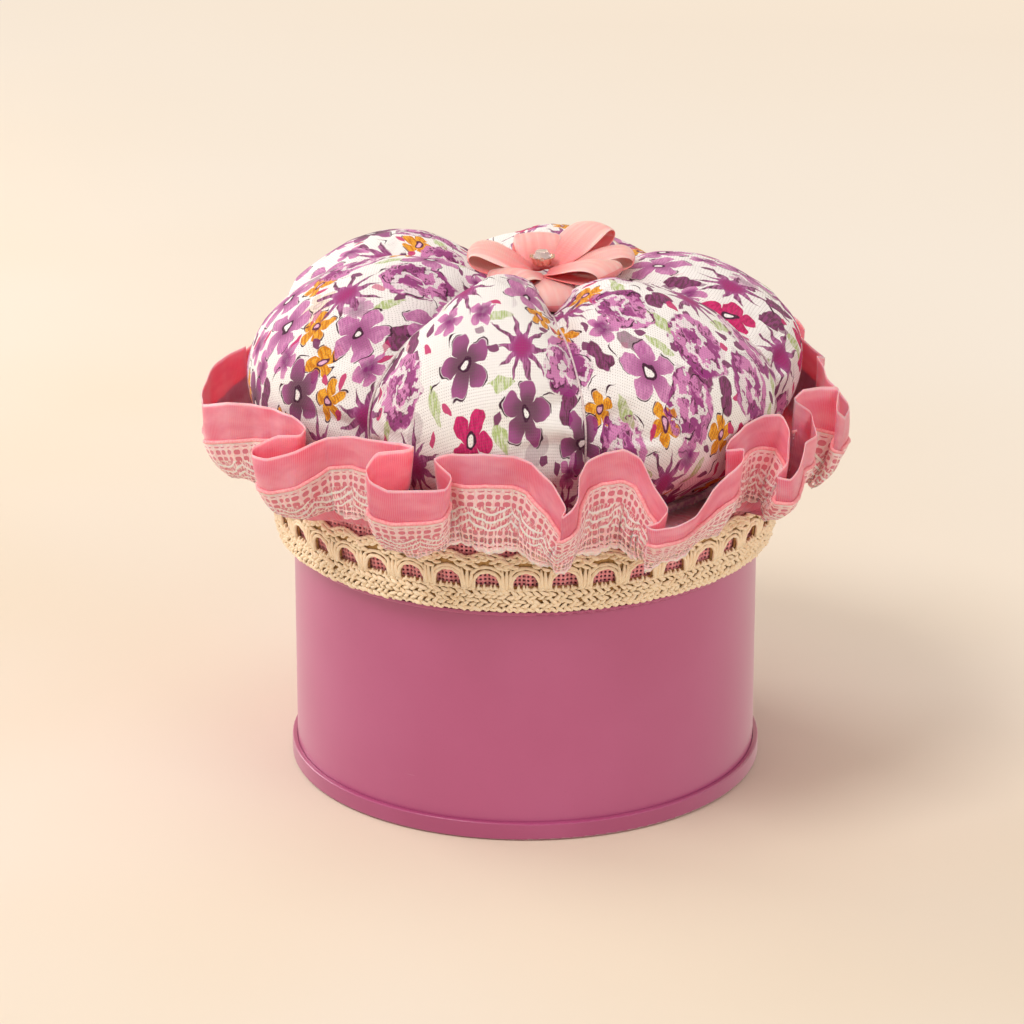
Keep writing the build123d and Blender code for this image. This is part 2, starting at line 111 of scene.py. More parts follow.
class Signal:
    """A node's output that plain arithmetic works on."""

    def __init__(self, graph: "Graph", socket: bpy.types.NodeSocket) -> None:
        """Wraps a socket of a graph."""
        self.graph = graph
        self.socket = socket

    def through(self, operation: str, *others: Value) -> "Signal":
        """This signal and others through one Math node.

        Args:
            operation: The Math node's operation.
            others: Its second and third values.

        Returns:
            The node's result.
        """
        return self.graph.maths(operation, self, *others)

    def __add__(self, other: Value) -> "Signal":
        """Sum."""
        return self.through("ADD", other)

    __radd__ = __add__

    def __sub__(self, other: Value) -> "Signal":
        """Difference."""
        return self.through("SUBTRACT", other)

    def __rsub__(self, other: Value) -> "Signal":
        """Difference from a plain number."""
        return self.graph.maths("SUBTRACT", other, self)

    def __mul__(self, other: Value) -> "Signal":
        """Product."""
        return self.through("MULTIPLY", other)

    __rmul__ = __mul__

    def __truediv__(self, other: Value) -> "Signal":
        """Quotient."""
        return self.through("DIVIDE", other)

    def __abs__(self) -> "Signal":
        """Size without its sign."""
        return self.through("ABSOLUTE")

    def power(self, exponent: float) -> "Signal":
        """This signal to a power."""
        return self.through("POWER", exponent)

    def sine(self) -> "Signal":
        """Sine of an angle in radians."""
        return self.through("SINE")

    def cosine(self) -> "Signal":
        """Cosine of an angle in radians."""
        return self.through("COSINE")

    def least(self, other: Value) -> "Signal":
        """The smaller of two."""
        return self.through("MINIMUM", other)

    def most(self, other: Value) -> "Signal":
        """The larger of two."""
        return self.through("MAXIMUM", other)

    def above(self, low: float, high: float) -> "Signal":
        """0 below low, 1 above high and smooth between them; high may be the lower one."""
        return self.graph.smooth(self, low, high)

    def band(self, low: float, high: float) -> "Signal":
        """1 between low and high, with hard edges."""
        return self.through("GREATER_THAN", low) * self.through("LESS_THAN", high)


class Graph:
    """Node tree of one finish, around one Principled shader."""

    def __init__(self, name: str, **plain: float) -> None:
        """Makes the material and sets the shader's own sockets.

        Args:
            name: The material's name.
            plain: Socket values, the names in lower case with _ for a space.
        """
        self.material = bpy.data.materials.new(name)
        self.material.use_nodes = True
        self.tree = self.material.node_tree
        self.shader = self.tree.nodes["Principled BSDF"]
        sockets = {socket.name.lower().replace(" ", "_"): socket for socket in self.shader.inputs}
        for key, value in plain.items():
            sockets[key].default_value = value

    def put(self, kind: str, **settings: object) -> bpy.types.Node:
        """A new node of a kind, with its settings.

        Args:
            kind: Blender's name for the node.
            settings: The node's own settings.

        Returns:
            The node.
        """
        node = self.tree.nodes.new(kind)
        assign(node, **settings)
        return node

    def feed(self, socket: bpy.types.NodeSocket, value: object) -> None:
        """Links a signal to a socket, or sets a plain value or a colour code on it.

        Args:
            socket: The socket.
            value: The signal, number, vector or colour code.
        """
        if isinstance(value, Signal):
            self.tree.links.new(value.socket, socket)
        else:
            socket.default_value = paint(value) if isinstance(value, str) else value

    def maths(self, operation: str, *values: Value) -> Signal:
        """The result of one Math node.

        Args:
            operation: The node's operation.
            values: What goes in, in order.

        Returns:
            The result.
        """
        node = self.put("ShaderNodeMath", operation=operation)
        for socket, value in zip(node.inputs, values):
            self.feed(socket, value)
        return Signal(self, node.outputs[0])

    def vector(self, operation: str, *values: object) -> Signal:
        """The vector that one Vector Math node gives.

        Args:
            operation: The node's operation.
            values: What goes in, in order.

        Returns:
            The result.
        """
        node = self.put("ShaderNodeVectorMath", operation=operation)
        for socket, value in zip(node.inputs, values):
            self.feed(socket, value)
        return Signal(self, node.outputs[0])

    def scaled(self, at: Signal, factors: tuple[float, float, float]) -> Signal:
        """A place with each of its coordinates multiplied."""
        return self.vector("MULTIPLY", at, factors)

    def split(self, at: Signal) -> tuple[Signal, Signal, Signal]:
        """The three coordinates of a place.

        Args:
            at: The place.

        Returns:
            Its x, y and z.
        """
        node = self.put("ShaderNodeSeparateXYZ")
        self.feed(node.inputs[0], at)
        return tuple(Signal(self, socket) for socket in node.outputs)

    def joined(self, x: Value, y: Value, z: Value = 0.0) -> Signal:
        """A place from three coordinates.

        Args:
            x: First coordinate.
            y: Second coordinate.
            z: Third coordinate.

        Returns:
            The place.
        """
        node = self.put("ShaderNodeCombineXYZ")
        for socket, value in zip(node.inputs, (x, y, z)):
            self.feed(socket, value)
        return Signal(self, node.outputs[0])

    def place(self) -> Signal:
        """Place on the piece, in millimetres."""
        node = self.put("ShaderNodeTexCoord")
        return self.scaled(Signal(self, node.outputs["Object"]), (1000, 1000, 1000))

    def stored(self, name: str) -> Signal:
        """A vector kept on the piece's points."""
        return Signal(self, self.put("ShaderNodeAttribute", attribute_name=name).outputs["Vector"])

    def noise(self, at: Signal, scale: float, detail: float = 2.0, dimensions: str = "3D") -> Signal:
        """Soft noise from 0 to 1, scale waves to a millimetre."""
        return Signal(self, self.noise_node(at, scale, detail, dimensions).outputs[0])

    def noise_node(self, at: Signal, scale: float, detail: float, dimensions: str) -> bpy.types.Node:
        """A noise node fed by a place.

        Args:
            at: The place.
            scale: Waves to a millimetre.
            detail: How many finer layers it has.
            dimensions: 2D or 3D.

        Returns:
            The node.
        """
        node = self.put("ShaderNodeTexNoise", noise_dimensions=dimensions)
        self.feed(node.inputs["Vector"], at)
        node.inputs["Scale"].default_value = scale
        node.inputs["Detail"].default_value = detail
        return node

    def shaken(self, at: Signal, scale: float, reach: float) -> Signal:
        """A place moved about by noise, by up to half the reach.

        Args:
            at: The place.
            scale: Waves of the noise to a millimetre.
            reach: Twice the furthest move.

        Returns:
            The moved place.
        """
        colour = Signal(self, self.noise_node(at, scale, 1.0, "2D").outputs["Color"])
        moved = self.vector("SUBTRACT", colour, (0.5, 0.5, 0.5))
        return self.vector("ADD", at, self.scaled(moved, (reach, reach, 0)))

    def smooth(self, value: Signal, low: float, high: float) -> Signal:
        """0 below low and 1 above high, smooth between them.

        Args:
            value: What is compared.
            low: Where the result is 0.
            high: Where it is 1.

        Returns:
            The share.
        """
        node = self.put("ShaderNodeMapRange", interpolation_type="SMOOTHSTEP")
        self.feed(node.inputs["Value"], value)
        node.inputs["From Min"].default_value = low
        node.inputs["From Max"].default_value = high
        return Signal(self, node.outputs[0])

    def over(self, share: Value, under: object, colour: object) -> Signal:
        """A colour laid over another by a share.

        Args:
            share: How much of the colour shows.
            under: What lies below.
            colour: What is laid on.

        Returns:
            The mixed colour.
        """
        node = self.put("ShaderNodeMix", data_type="RGBA")
        self.feed(node.inputs["Factor"], share)
        self.feed(node.inputs[6], under)
        self.feed(node.inputs[7], colour)
        return Signal(self, node.outputs[2])

    def set(self, name: str, value: object) -> None:
        """Feeds one of the shader's sockets."""
        self.feed(self.shader.inputs[name], value)

    def emboss(self, height: Signal, depth: float, strength: float = 1.0) -> None:
        """Bumps the surface by a height from 0 to 1.

        Args:
            height: What stands proud.
            depth: How far, in millimetres.
            strength: Share of the bump that shows.
        """
        node = self.put("ShaderNodeBump")
        node.inputs["Strength"].default_value = strength
        node.inputs["Distance"].default_value = depth * MM
        self.feed(node.inputs["Height"], height)
        self.feed(self.shader.inputs["Normal"], Signal(self, node.outputs[0]))


# Finishes


@dataclass(frozen=True)
class Enamel:
    """Satin enamel outside and bare tinplate inside."""

    colour: str = "b65180"
    pale: str = "c05f8f"
    fleck: str = "8f3f63"
    rub: str = "f0cfdc"
    bare: str = "c9c7c2"
    bare_deep: str = "aaa8a4"

    def material(self, name: str, inside_radius: float, ceiling: float) -> bpy.types.Material:
        """The finish for one pressed part.

        Args:
            name: The material's name.
            inside_radius: Radius within which the plate is bare.
            ceiling: Height under which that holds.

        Returns:
            The material.
        """
        graph = Graph(name, specular_ior_level=0.55, coat_weight=0.5, coat_roughness=0.3)
        at = graph.place()
        x, y, z = graph.split(at)
        radius = (x * x + y * y).power(0.5)
        bare = radius.through("LESS_THAN", inside_radius) * z.through("LESS_THAN", ceiling)
        clouds = graph.noise(at, 0.045, 3.0)
        grain = graph.noise(at, 2.2, 2.0)
        enamel = graph.over(clouds.above(0.35, 0.75) * 0.3, self.colour, self.pale)
        enamel = graph.over(grain.above(0.62, 0.78) * 0.12, enamel, self.fleck)
        line = graph.scaled(at, (0.02, 0.02, 0.55))
        scuffs = graph.noise(line, 1.7, 4.0).above(0.76, 0.78)
        enamel = graph.over(scuffs * 0.2, enamel, self.rub)
        drawn = graph.noise(line, 3.0).above(0.3, 0.7)
        tinplate = graph.over(drawn, self.bare, self.bare_deep)
        graph.set("Base Color", graph.over(bare, enamel, tinplate))
        graph.set("Metallic", bare * 0.9)
        graph.set("Roughness", 0.42 - clouds * 0.08 - scuffs * 0.05)
        graph.emboss(graph.noise(at, 0.9, 2.0) * 0.5 + grain * 0.1, 0.02, 0.5)
        return graph.material


@dataclass(frozen=True)
class PrintedCotton:
    """Off-white plain weave with a small flower print, and painted shade in the gaps between its threads.
    """

    ground: str = "f5f0ee"
    # Colour of the painted shade in the gaps between the threads.
    between: str = "6f625c"
    pitch: float = 0.42

    def material(self, name: str) -> bpy.types.Material:
        """The finish, printed by the piece's stored cloth place in millimetres.

        Args:
            name: The material's name.

        Returns:
            The material.
        """
        graph = Graph(name, roughness=0.85, specular_ior_level=0.2, sheen_weight=0.08, sheen_roughness=0.5)
        cloth = graph.stored("cloth")
        printed = FlowerPrint(graph, cloth).colour(self.ground)
        u, v, _ = graph.split(cloth)
        slub = graph.noise(graph.joined(u * 0.16, v * 1.9), 1.0)
        slub = (slub + graph.noise(graph.joined(u * 1.9, v * 0.16), 1.0)) * 0.5
        across, along = (u * (math.pi / self.pitch)).sine(), (v * (math.pi / self.pitch)).sine()
        warp, weft, turn = abs(across), abs(along), across * along
        threads = warp.least(weft) + turn * 0.25
        # The gaps between the threads are painted darker in the between colour: painted shade between the
        # threads.
        gaps = warp.most(weft).above(0.62, 0.25) * slub.above(0.8, 0.4)
        worn = slub.above(0.45, 0.7)
        graph.set("Base Color", graph.over(gaps * 0.75 + worn * 0.04, printed, self.between))
        graph.emboss(threads * 0.5 + slub * 0.6, 0.12, 0.8)
        return graph.material


class FlowerPrint:
    """A loose painted meadow print: blooms, asters, lobed flowers, hearts, leaves, drops and strokes."""

    ink: str = "3f1a33"
    dark_ink: str = "451a38"
    lilac: str = "cf7db4"
    orchid: str = "96307c"
    plum: str = "5a0f42"

    def __init__(self, graph: Graph, cloth: Signal) -> None:
        """Works on a graph at a cloth place in millimetres.

        Args:
            graph: Graph of the cloth's finish.
            cloth: Place on the cloth.
        """
        self.graph = graph
        self.cloth = graph.shaken(cloth, 0.42, 1.5)
        self.wet = graph.noise(cloth, 0.8, 3.0, "2D")
        brush = graph.noise(graph.scaled(cloth, (2.6, 0.7, 1)), 1.0, 2.0, "2D")
        self.stroke = brush.above(0.38, 0.62)

    def lattice(self, cell: float, jitter: float, shift: Spot) -> "Lattice":
        """Scattered places, one to a cell."""
        return Lattice(self.graph, self.cloth, cell, jitter, shift)

    def room(self, lattice: "Lattice", centre: Signal, low: float, high: float) -> Signal:
        """Where another lattice's motif stands clear of a lattice's motifs."""
        return lattice.again(centre).distance.above(low, high)

    def colour(self, ground: str) -> Signal:
        """The printed colour over the ground.

        Args:
            ground: Colour of the plain cloth.

        Returns:
            The colour at each place.
        """
        graph, wet = self.graph, self.wet
        large = self.lattice(cell=11.4, jitter=0.4, shift=(3.1, 1.7))
        middle = self.lattice(cell=6.1, jitter=0.5, shift=(17.3, 40.9))
        tiny = self.lattice(cell=3.1, jitter=0.6, shift=(71.3, 8.9))
        by_large = self.room(large, middle.centre, 4.6, 5.2)
        free = self.room(large, tiny.centre, 4.7, 5.1) * self.room(middle, tiny.centre, 1.9, 2.3)
        result = graph.over(wet.above(0.5, 0.75) * 0.2, ground, "e6dde2")
        result = self.small_motifs(result, middle, by_large)
        result = self.scattered(result, tiny, free)
        return self.large_motifs(result, large, ground)

    def small_motifs(self, under: Signal, at: "Lattice", room: Signal) -> Signal:
        """Leaves, little flowers and dark hearts between the large flowers.

        Args:
            under: What lies below.
            at: Cells of the motifs.
            room: Where they have room.

        Returns:
            The printed colour.
        """
        graph, stroke = self.graph, self.stroke
        leaf = at.leaf(2.7, 1.0) * at.chosen(Share.LEAF) * room
        result = graph.over(leaf * (0.45 + stroke * 0.5), under, "aebf78")
        heart = at.heart(2.5) * at.chosen(Share.HEART) * room
        result = graph.over(heart * 0.96, result, graph.over(stroke, "5c1040", "882a6c"))
        golden = at.chosen(Share.GOLD_FLOWER) * room
        gold = graph.over(stroke, "f0ab35", "d07d17")
        result = graph.over(at.flower(2.9, 5, 0.34) * golden, result, gold)
        result = graph.over(at.arcs(3.05, 5) * golden, result, self.ink)
        core = graph.over(at.distance.above(0.35, 0.5), "e7b0cf", "5a2145")
        result = graph.over(at.distance.above(0.85, 0.65) * golden, result, core)
        violet = at.flower(2.8, 5, 0.4) * at.chosen(Share.VIOLET_FLOWER) * room
        tone = graph.over(at.distance.above(2.2, 0.5), "cd7bb2", "862a72")
        return graph.over(violet * (0.7 + self.wet * 0.5).least(1.0), result, tone)

    def scattered(self, under: Signal, at: "Lattice", room: Signal) -> Signal:
        """Drops and thin curved strokes in what is left.

        Args:
            under: What lies below.
            at: Cells of the motifs.
            room: Where they have room.

        Returns:
            The printed colour.
        """
        graph = self.graph
        drop = at.leaf(1.15, 0.62) * at.chosen(Share.DROP) * room
        tone = graph.over(at.tone.through("GREATER_THAN", 0.45), "c92f70", "7a2b62")
        result = graph.over(drop * 0.95, under, tone)
        dash = at.curve(1.5, 0.15) * at.chosen(Share.DASH) * room
        return graph.over(dash, result, self.ink)

    def large_motifs(self, under: Signal, at: "Lattice", ground: str) -> Signal:
        """Wet-brushed blooms, spiky asters, lilac five-lobed flowers and rose-red ones.

        Args:
            under: What lies below.
            at: Cells of the motifs.
            ground: Colour of the plain cloth.

        Returns:
            The printed colour.
        """
        graph = self.graph
        result = self.blooms(under, at)
        result = self.asters(result, at)
        result = self.lobed_flowers(result, at)
        drawn = at.arcs(4.9, 5) * (at.chosen(Share.FIVE_LOBED) + at.chosen(Share.DRAWN_BLOOM))
        result = graph.over(drawn, result, self.ink)
        hearts = at.chosen(Share.WITH_HEART)
        result = graph.over(at.distance.above(0.85, 0.7) * hearts, result, ground)
        ring = abs(at.distance - 0.85).above(0.3, 0.16) * hearts
        return graph.over(ring, result, self.dark_ink)

    def blooms(self, under: Signal, at: "Lattice") -> Signal:
        """Round blooms whose brush strokes wind outwards.

        Args:
            under: What lies below.
            at: Cells of the motifs.

        Returns:
            The printed colour.
        """
        graph = self.graph
        cover = at.blob(5.3, 0.55) * at.chosen(Share.BLOOM)
        turns = at.distance * 1.25 + at.angle + self.wet * 5.5
        tone = graph.over(turns.sine().above(-0.2, 0.5), self.lilac, self.orchid)
        tone = graph.over((turns * 1.9 + 1.0).sine().above(0.5, 0.85) * self.stroke, tone, self.plum)
        gaps = (at.distance * 1.5 - at.angle * 2.0 + self.wet * 6.0).sine().above(0.45, 0.8)
        return graph.over(cover * (0.97 - gaps * 0.75), under, tone)

    def asters(self, under: Signal, at: "Lattice") -> Signal:
        """Dark asters with a glowing middle.

        Args:
            under: What lies below.
            at: Cells of the motifs.

        Returns:
            The printed colour.
        """
        graph = self.graph
        tone = graph.over(at.distance.above(1.6, 4.2), self.orchid, self.plum)
        tone = graph.over(self.stroke * at.distance.above(1.2, 2.4) * 0.55, tone, self.lilac)
        chosen = at.chosen(Share.ASTER)
        result = graph.over(at.burst(6.3, 10) * chosen * 0.96, under, tone)
        return graph.over(at.distance.above(2.4, 0.6) * chosen * 0.7, result, "a81f6c")

    def lobed_flowers(self, under: Signal, at: "Lattice") -> Signal:
        """Five-lobed flowers, pale or dark lilac, and smaller rose-red ones.

        Args:
            under: What lies below.
            at: Cells of the motifs.

        Returns:
            The printed colour.
        """
        graph = self.graph
        pale = graph.over(at.distance.above(3.6, 0.8), "cf80b6", self.orchid)
        pale = graph.over(self.stroke * 0.55, pale, "a8488f")
        dark = graph.over(at.distance.above(4.4, 1.2), self.orchid, self.plum)
        tone = graph.over(at.tone.through("GREATER_THAN", 0.5), pale, dark)
        result = graph.over(at.flower(4.7, 5, 0.36) * at.chosen(Share.FIVE_LOBED) * 0.93, under, tone)
        rose = graph.over(self.stroke * 0.7, "d42f72", "ad1a58")
        return graph.over(at.flower(4.2, 5, 0.34) * at.chosen(Share.ROSE_RED), result, rose)


class Lattice:
    """Cells of a Voronoi pattern, each with a centre, a turn and random numbers."""

    def __init__(self, graph: Graph, at: Signal, cell: float, jitter: float, shift: Spot) -> None:
        """Lays the cells.

        Args:
            graph: Graph to work on.
            at: Cloth place in millimetres.
            cell: Size of a cell.
            jitter: How far centres stray, from 0 to 1.
            shift: Offset of the whole pattern.
        """
        moved = graph.vector("ADD", at, (*shift, 0.0))
        node = graph.put("ShaderNodeTexVoronoi", voronoi_dimensions="2D")
        graph.feed(node.inputs["Vector"], moved)
        node.inputs["Scale"].default_value = 1 / cell
        node.inputs["Randomness"].default_value = jitter
        centre = Signal(graph, node.outputs["Position"])
        self.graph = graph
        self.cell, self.jitter, self.shift = cell, jitter, shift
        self.centre = graph.vector("SUBTRACT", centre, (*shift, 0.0))
        self.pick, self.turn, self.tone = graph.split(Signal(graph, node.outputs["Color"]))
        x, y, _ = graph.split(graph.vector("SUBTRACT", at, self.centre))
        self.distance = (x * x + y * y).power(0.5)
        self.angle = graph.maths("ARCTAN2", y, x) + self.turn * (2 * math.pi)
        self.x = self.distance * self.angle.cosine()
        self.y = self.distance * self.angle.sine()

    def chosen(self, share: Share) -> Signal:
        """1 in the cells whose random number falls in a band."""
        return self.pick.band(*share.value)

    def edge(self, petals: int, waist: float) -> Signal:
        """Edge of rounded petals as a share of the radius, from the waist between them to 1."""
        return abs((self.angle * (petals / 2)).cosine()).power(0.6) * (1 - waist) + waist

    def flower(self, radius: float, petals: int, waist: float) -> Signal:
        """A flower's cover."""
        return (self.edge(petals, waist) * radius - self.distance).above(-0.12, 0.12)

    def again(self, at: Signal) -> "Lattice":
        """The same pattern read at other places."""
        return Lattice(self.graph, at, self.cell, self.jitter, self.shift)

    def arcs(self, radius: float, petals: int) -> Signal:
        """A thin curved stroke along one side of each petal of such a flower."""
        side = (self.angle * petals + 0.6).sine().above(0.0, 0.3)
        return abs(self.edge(petals, 0.38) * radius - self.distance).above(0.17, 0.07) * side

    def heart(self, size: float) -> Signal:
        """Two rounded lobes that meet in a point."""
        lobe = (abs(self.angle.sine()) * 0.55 + 0.45) * (1 + self.angle.cosine() * 0.35)
        return (lobe * size - self.distance).above(-0.1, 0.12)

    def curve(self, length: float, width: float) -> Signal:
        """A thin bent stroke."""
        across = abs(self.y - self.x * self.x * 0.28) / width
        return (1 - (self.x / length).power(2.0) - across).above(-0.1, 0.3)

    def burst(self, radius: float, rays: int) -> Signal:
        """Pointed rays of uneven length.

        Args:
            radius: Reach of a ray.
            rays: Number of rays.

        Returns:
            The cover.
        """
        uneven = self.graph.noise(self.graph.joined(self.angle * 1.3, self.turn * 9), 1.0, 1.0, "2D")
        swing = abs((self.angle * (rays / 2)).sine()) * 0.999
        off = swing.through("ARCSINE") * (2 / rays)
        length = (0.5 + uneven) * radius
        return ((1 - self.distance / length) * 1.05 - off * self.distance).above(0.0, 0.16)

    def blob(self, radius: float, wave: float) -> Signal:
        """A round patch with an uneven edge.

        Args:
            radius: Its mean radius.
            wave: Height of the unevenness as a share of the radius.

        Returns:
            The cover.
        """
        round_the_edge = self.graph.joined(self.angle.cosine(), self.angle.sine(), self.turn * 9)
        uneven = self.graph.noise(round_the_edge, 1.4, 2.0)
        return ((1 - wave / 2 + uneven * wave) * radius - self.distance).above(-0.2, 0.2)

    def leaf(self, length: float, width: float) -> Signal:
        """A pointed oval."""
        return (1 - (self.x / length).power(2.0) - abs(self.y) / width).above(-0.08, 0.12)


@dataclass(frozen=True)
class Satin:
    """Ribbon with fine ribs across it and a woven edge, with a painted highlight on the rib crests and
    along the edges.
    """

    colour: str = "ff93a6"
    deep: str = "f26d88"
    pale: str = "ffccd2"
    rib_pitch: float = 0.36
    pick_pitch: float = 0.3

    def material(self, name: str, width: float) -> bpy.types.Material:
        """The finish for a ribbon whose stored cloth place is along and across it.

        Args:
            name: The material's name.
            width: The ribbon's width in millimetres.

        Returns:
            The material.
        """
        graph = Graph(
            name, roughness=0.42, specular_ior_level=0.45, sheen_weight=0.35, sheen_roughness=0.35,
            anisotropic=0.5, subsurface_weight=0.55, subsurface_scale=1.0 * MM,
        )
        along, across, _ = graph.split(graph.stored("cloth"))
        ribs = (along * (2 * math.pi / self.rib_pitch)).sine()
        picks = (across * (2 * math.pi / self.pick_pitch)).sine()
        shade = graph.noise(graph.joined(along * 0.12, across * 0.3), 1.0, 3.0)
        colour = graph.over(shade.above(0.35, 0.7), self.deep, self.colour)
        # Rib crests painted paler: a painted highlight on the ribs.
        colour = graph.over(ribs.above(-0.2, 1.0) * 0.2, colour, self.pale)
        # Both edges painted paler: a painted highlight along the selvedges.
        selvedge_highlight = across.above(0.55, 0.25) + across.above(width - 0.6, width - 0.2)
        colour = graph.over(selvedge_highlight * 0.6, colour, self.pale)
        graph.set("Base Color", colour)
        graph.emboss(ribs * 0.5 + picks * 0.15 + selvedge_highlight * 0.8, 0.045, 0.6)
        return graph.material


@dataclass(frozen=True)
class Lace:
    """Machine lace: wide net by the seam, a corded middle, square bars and a dense edge."""

    colour: str = "ffc0c4"
    pale: str = "ffe2de"
    cord: str = "fff0ec"
    shade: str = "d85c74"
    seam: float = 0.7
    net_end: float = 3.4
    cord_end: float = 7.2
    edge: float = 0.9

    def material(self, name: str, width: float) -> bpy.types.Material:
        """The finish for a strip whose stored cloth place is along and across it.

        Args:
            name: The material's name.
            width: The strip's width in millimetres.

        Returns:
            The material.
        """
        graph = Graph(
            name, roughness=0.65, specular_ior_level=0.3, sheen_weight=0.3, sheen_roughness=0.5,
            subsurface_weight=0.4, subsurface_scale=0.8 * MM,
        )
        along, across, _ = graph.split(graph.stored("cloth"))
        wander = graph.noise(graph.joined(along * 0.35, across * 0.35), 1.0, 2.0) * 1.4
        wave = abs((along * (math.pi / 9.0)).sine()) * 1.7 + wander * 0.5
        wide = abs((along * (math.pi / 1.7) + wander).sine())
        wide = wide * abs((across * (math.pi / 1.3) + 0.4).sine())
        square = abs((along * (math.pi / 1.1) + wander).sine())
        square = square * abs((across * (math.pi / 1.15)).sine())
        middle = across.band(self.net_end, self.cord_end)
        cord = abs(((across - wave) * (math.pi / 1.3)).sine()).above(0.62, 0.34) * middle
        threads = graph.noise(graph.joined(along * 3.0, across * 1.2), 1.0, 2.0)
        net = wide.above(0.36, 0.52) * across.band(self.seam, self.net_end)
        bars = square.above(0.33, 0.5) * across.band(self.cord_end, width - self.edge)
        hole = net.most(bars).most((1 - cord) * middle * threads.above(0.62, 0.42))
        colour = graph.over(threads.above(0.35, 0.7), self.colour, self.pale)
        edges = across.above(0.5, 0.2) + across.above(width - 0.7, width - 0.3)
        colour = graph.over((cord * 0.8 + edges * 0.7).least(1.0), colour, self.cord)
        sewn = across.above(width - 1.5, width - 3.5)
        colour = graph.over(hole * sewn * 0.85, colour, self.shade)
        graph.set("Base Color", colour)
        graph.set("Alpha", 1 - hole * (1 - sewn))
        graph.emboss(threads * 0.4 + cord * 0.7 + edges * 0.6 + (1 - hole) * 0.4, 0.14, 0.8)
        return graph.material


@dataclass(frozen=True)
class Yarn:
    """Twisted cotton yarn."""

    colour: str = "ffe7c4"
    pale: str = "fff3dc"
    deep: str = "ecc793"

    def material(self, name: str) -> bpy.types.Material:
        """The finish, with paler fibres and a few deeper patches.

        Args:
            name: The material's name.

        Returns:
            The material.
        """
        graph = Graph(name, roughness=0.9, specular_ior_level=0.2, sheen_weight=0.3, sheen_roughness=0.6)
        at = graph.place()
        fibre = graph.noise(at, 3.2, 3.0)
        patch = graph.noise(at, 0.35, 2.0)
        colour = graph.over(fibre.above(0.35, 0.7) * 0.6, self.colour, self.pale)
        colour = graph.over(patch.above(0.5, 0.8) * 0.35, colour, self.deep)
        graph.set("Base Color", colour)
        graph.emboss(fibre, 0.14, 0.9)
        return graph.material


@dataclass(frozen=True)
class PlainCloth:
    """A plain cloth, thread, card or felt in one colour with a fibrous grain."""

    colour: str
    deep: str
    grain: float = 2.0
    depth: float = 0.1

    def material(self, name: str) -> bpy.types.Material:
        """The finish.

        Args:
            name: The material's name.

        Returns:
            The material.
        """
        graph = Graph(name, roughness=0.85, specular_ior_level=0.2, sheen_weight=0.2, sheen_roughness=0.6)
        at = graph.place()
        fibre = graph.noise(at, self.grain, 4.0)
        graph.set("Base Color", graph.over(fibre.above(0.3, 0.7), self.colour, self.deep))
        graph.emboss(fibre, self.depth, 0.8)
        return graph.material


@dataclass(frozen=True)
class BrightMetal:
    """Polished plated metal."""

    colour: str = "d8c7ae"
    pale: str = "efe6d8"

    def material(self, name: str) -> bpy.types.Material:
        """The finish.

        Args:
            name: The material's name.

        Returns:
            The material.
        """
        graph = Graph(name, metallic=1.0)
        wear = graph.noise(graph.place(), 1.6, 3.0)
        graph.set("Base Color", graph.over(wear.above(0.4, 0.7), self.colour, self.pale))
        graph.set("Roughness", 0.12 + wear * 0.12)
        return graph.material


@dataclass(frozen=True)
class CutGlass:
    """Clear stone with a faint warm tint."""

    colour: str = "fff4ee"
    deep: str = "f6e4e6"

    def material(self, name: str) -> bpy.types.Material:
        """The finish.

        Args:
            name: The material's name.

        Returns:
            The material.
        """
        graph = Graph(name, roughness=0.02, ior=1.6, transmission_weight=0.65, specular_ior_level=0.8)
        clouds = graph.noise(graph.place(), 0.8, 1.0)
        graph.set("Base Color", graph.over(clouds.above(0.4, 0.6), self.colour, self.deep))
        return graph.material


@dataclass(frozen=True)
class FootingNet:
    """Pink net with round meshes, for the strip behind the trim."""

    colour: str = "f58f9d"
    pale: str = "ffb9bd"
    pitch: float = 0.8

    def material(self, name: str) -> bpy.types.Material:
        """The finish for a strip whose stored cloth place is along and across it.

        Args:
            name: The material's name.

        Returns:
            The material.
        """
        graph = Graph(name, roughness=0.75, specular_ior_level=0.25, sheen_weight=0.25, sheen_roughness=0.5)
        along, across, _ = graph.split(graph.stored("cloth"))
        column = abs((along * (math.pi / self.pitch)).sine())
        row = abs((across * (math.pi / self.pitch)).sine())
        fibre = graph.noise(graph.joined(along * 2.0, across * 2.0), 1.0, 2.0)
        hole = (column * row + fibre * 0.4).above(0.75, 0.95)
        graph.set("Base Color", graph.over(fibre.above(0.35, 0.7), self.colour, self.pale))
        graph.set("Alpha", 1 - hole)
        graph.emboss(1 - hole, 0.15, 0.9)
        return graph.material


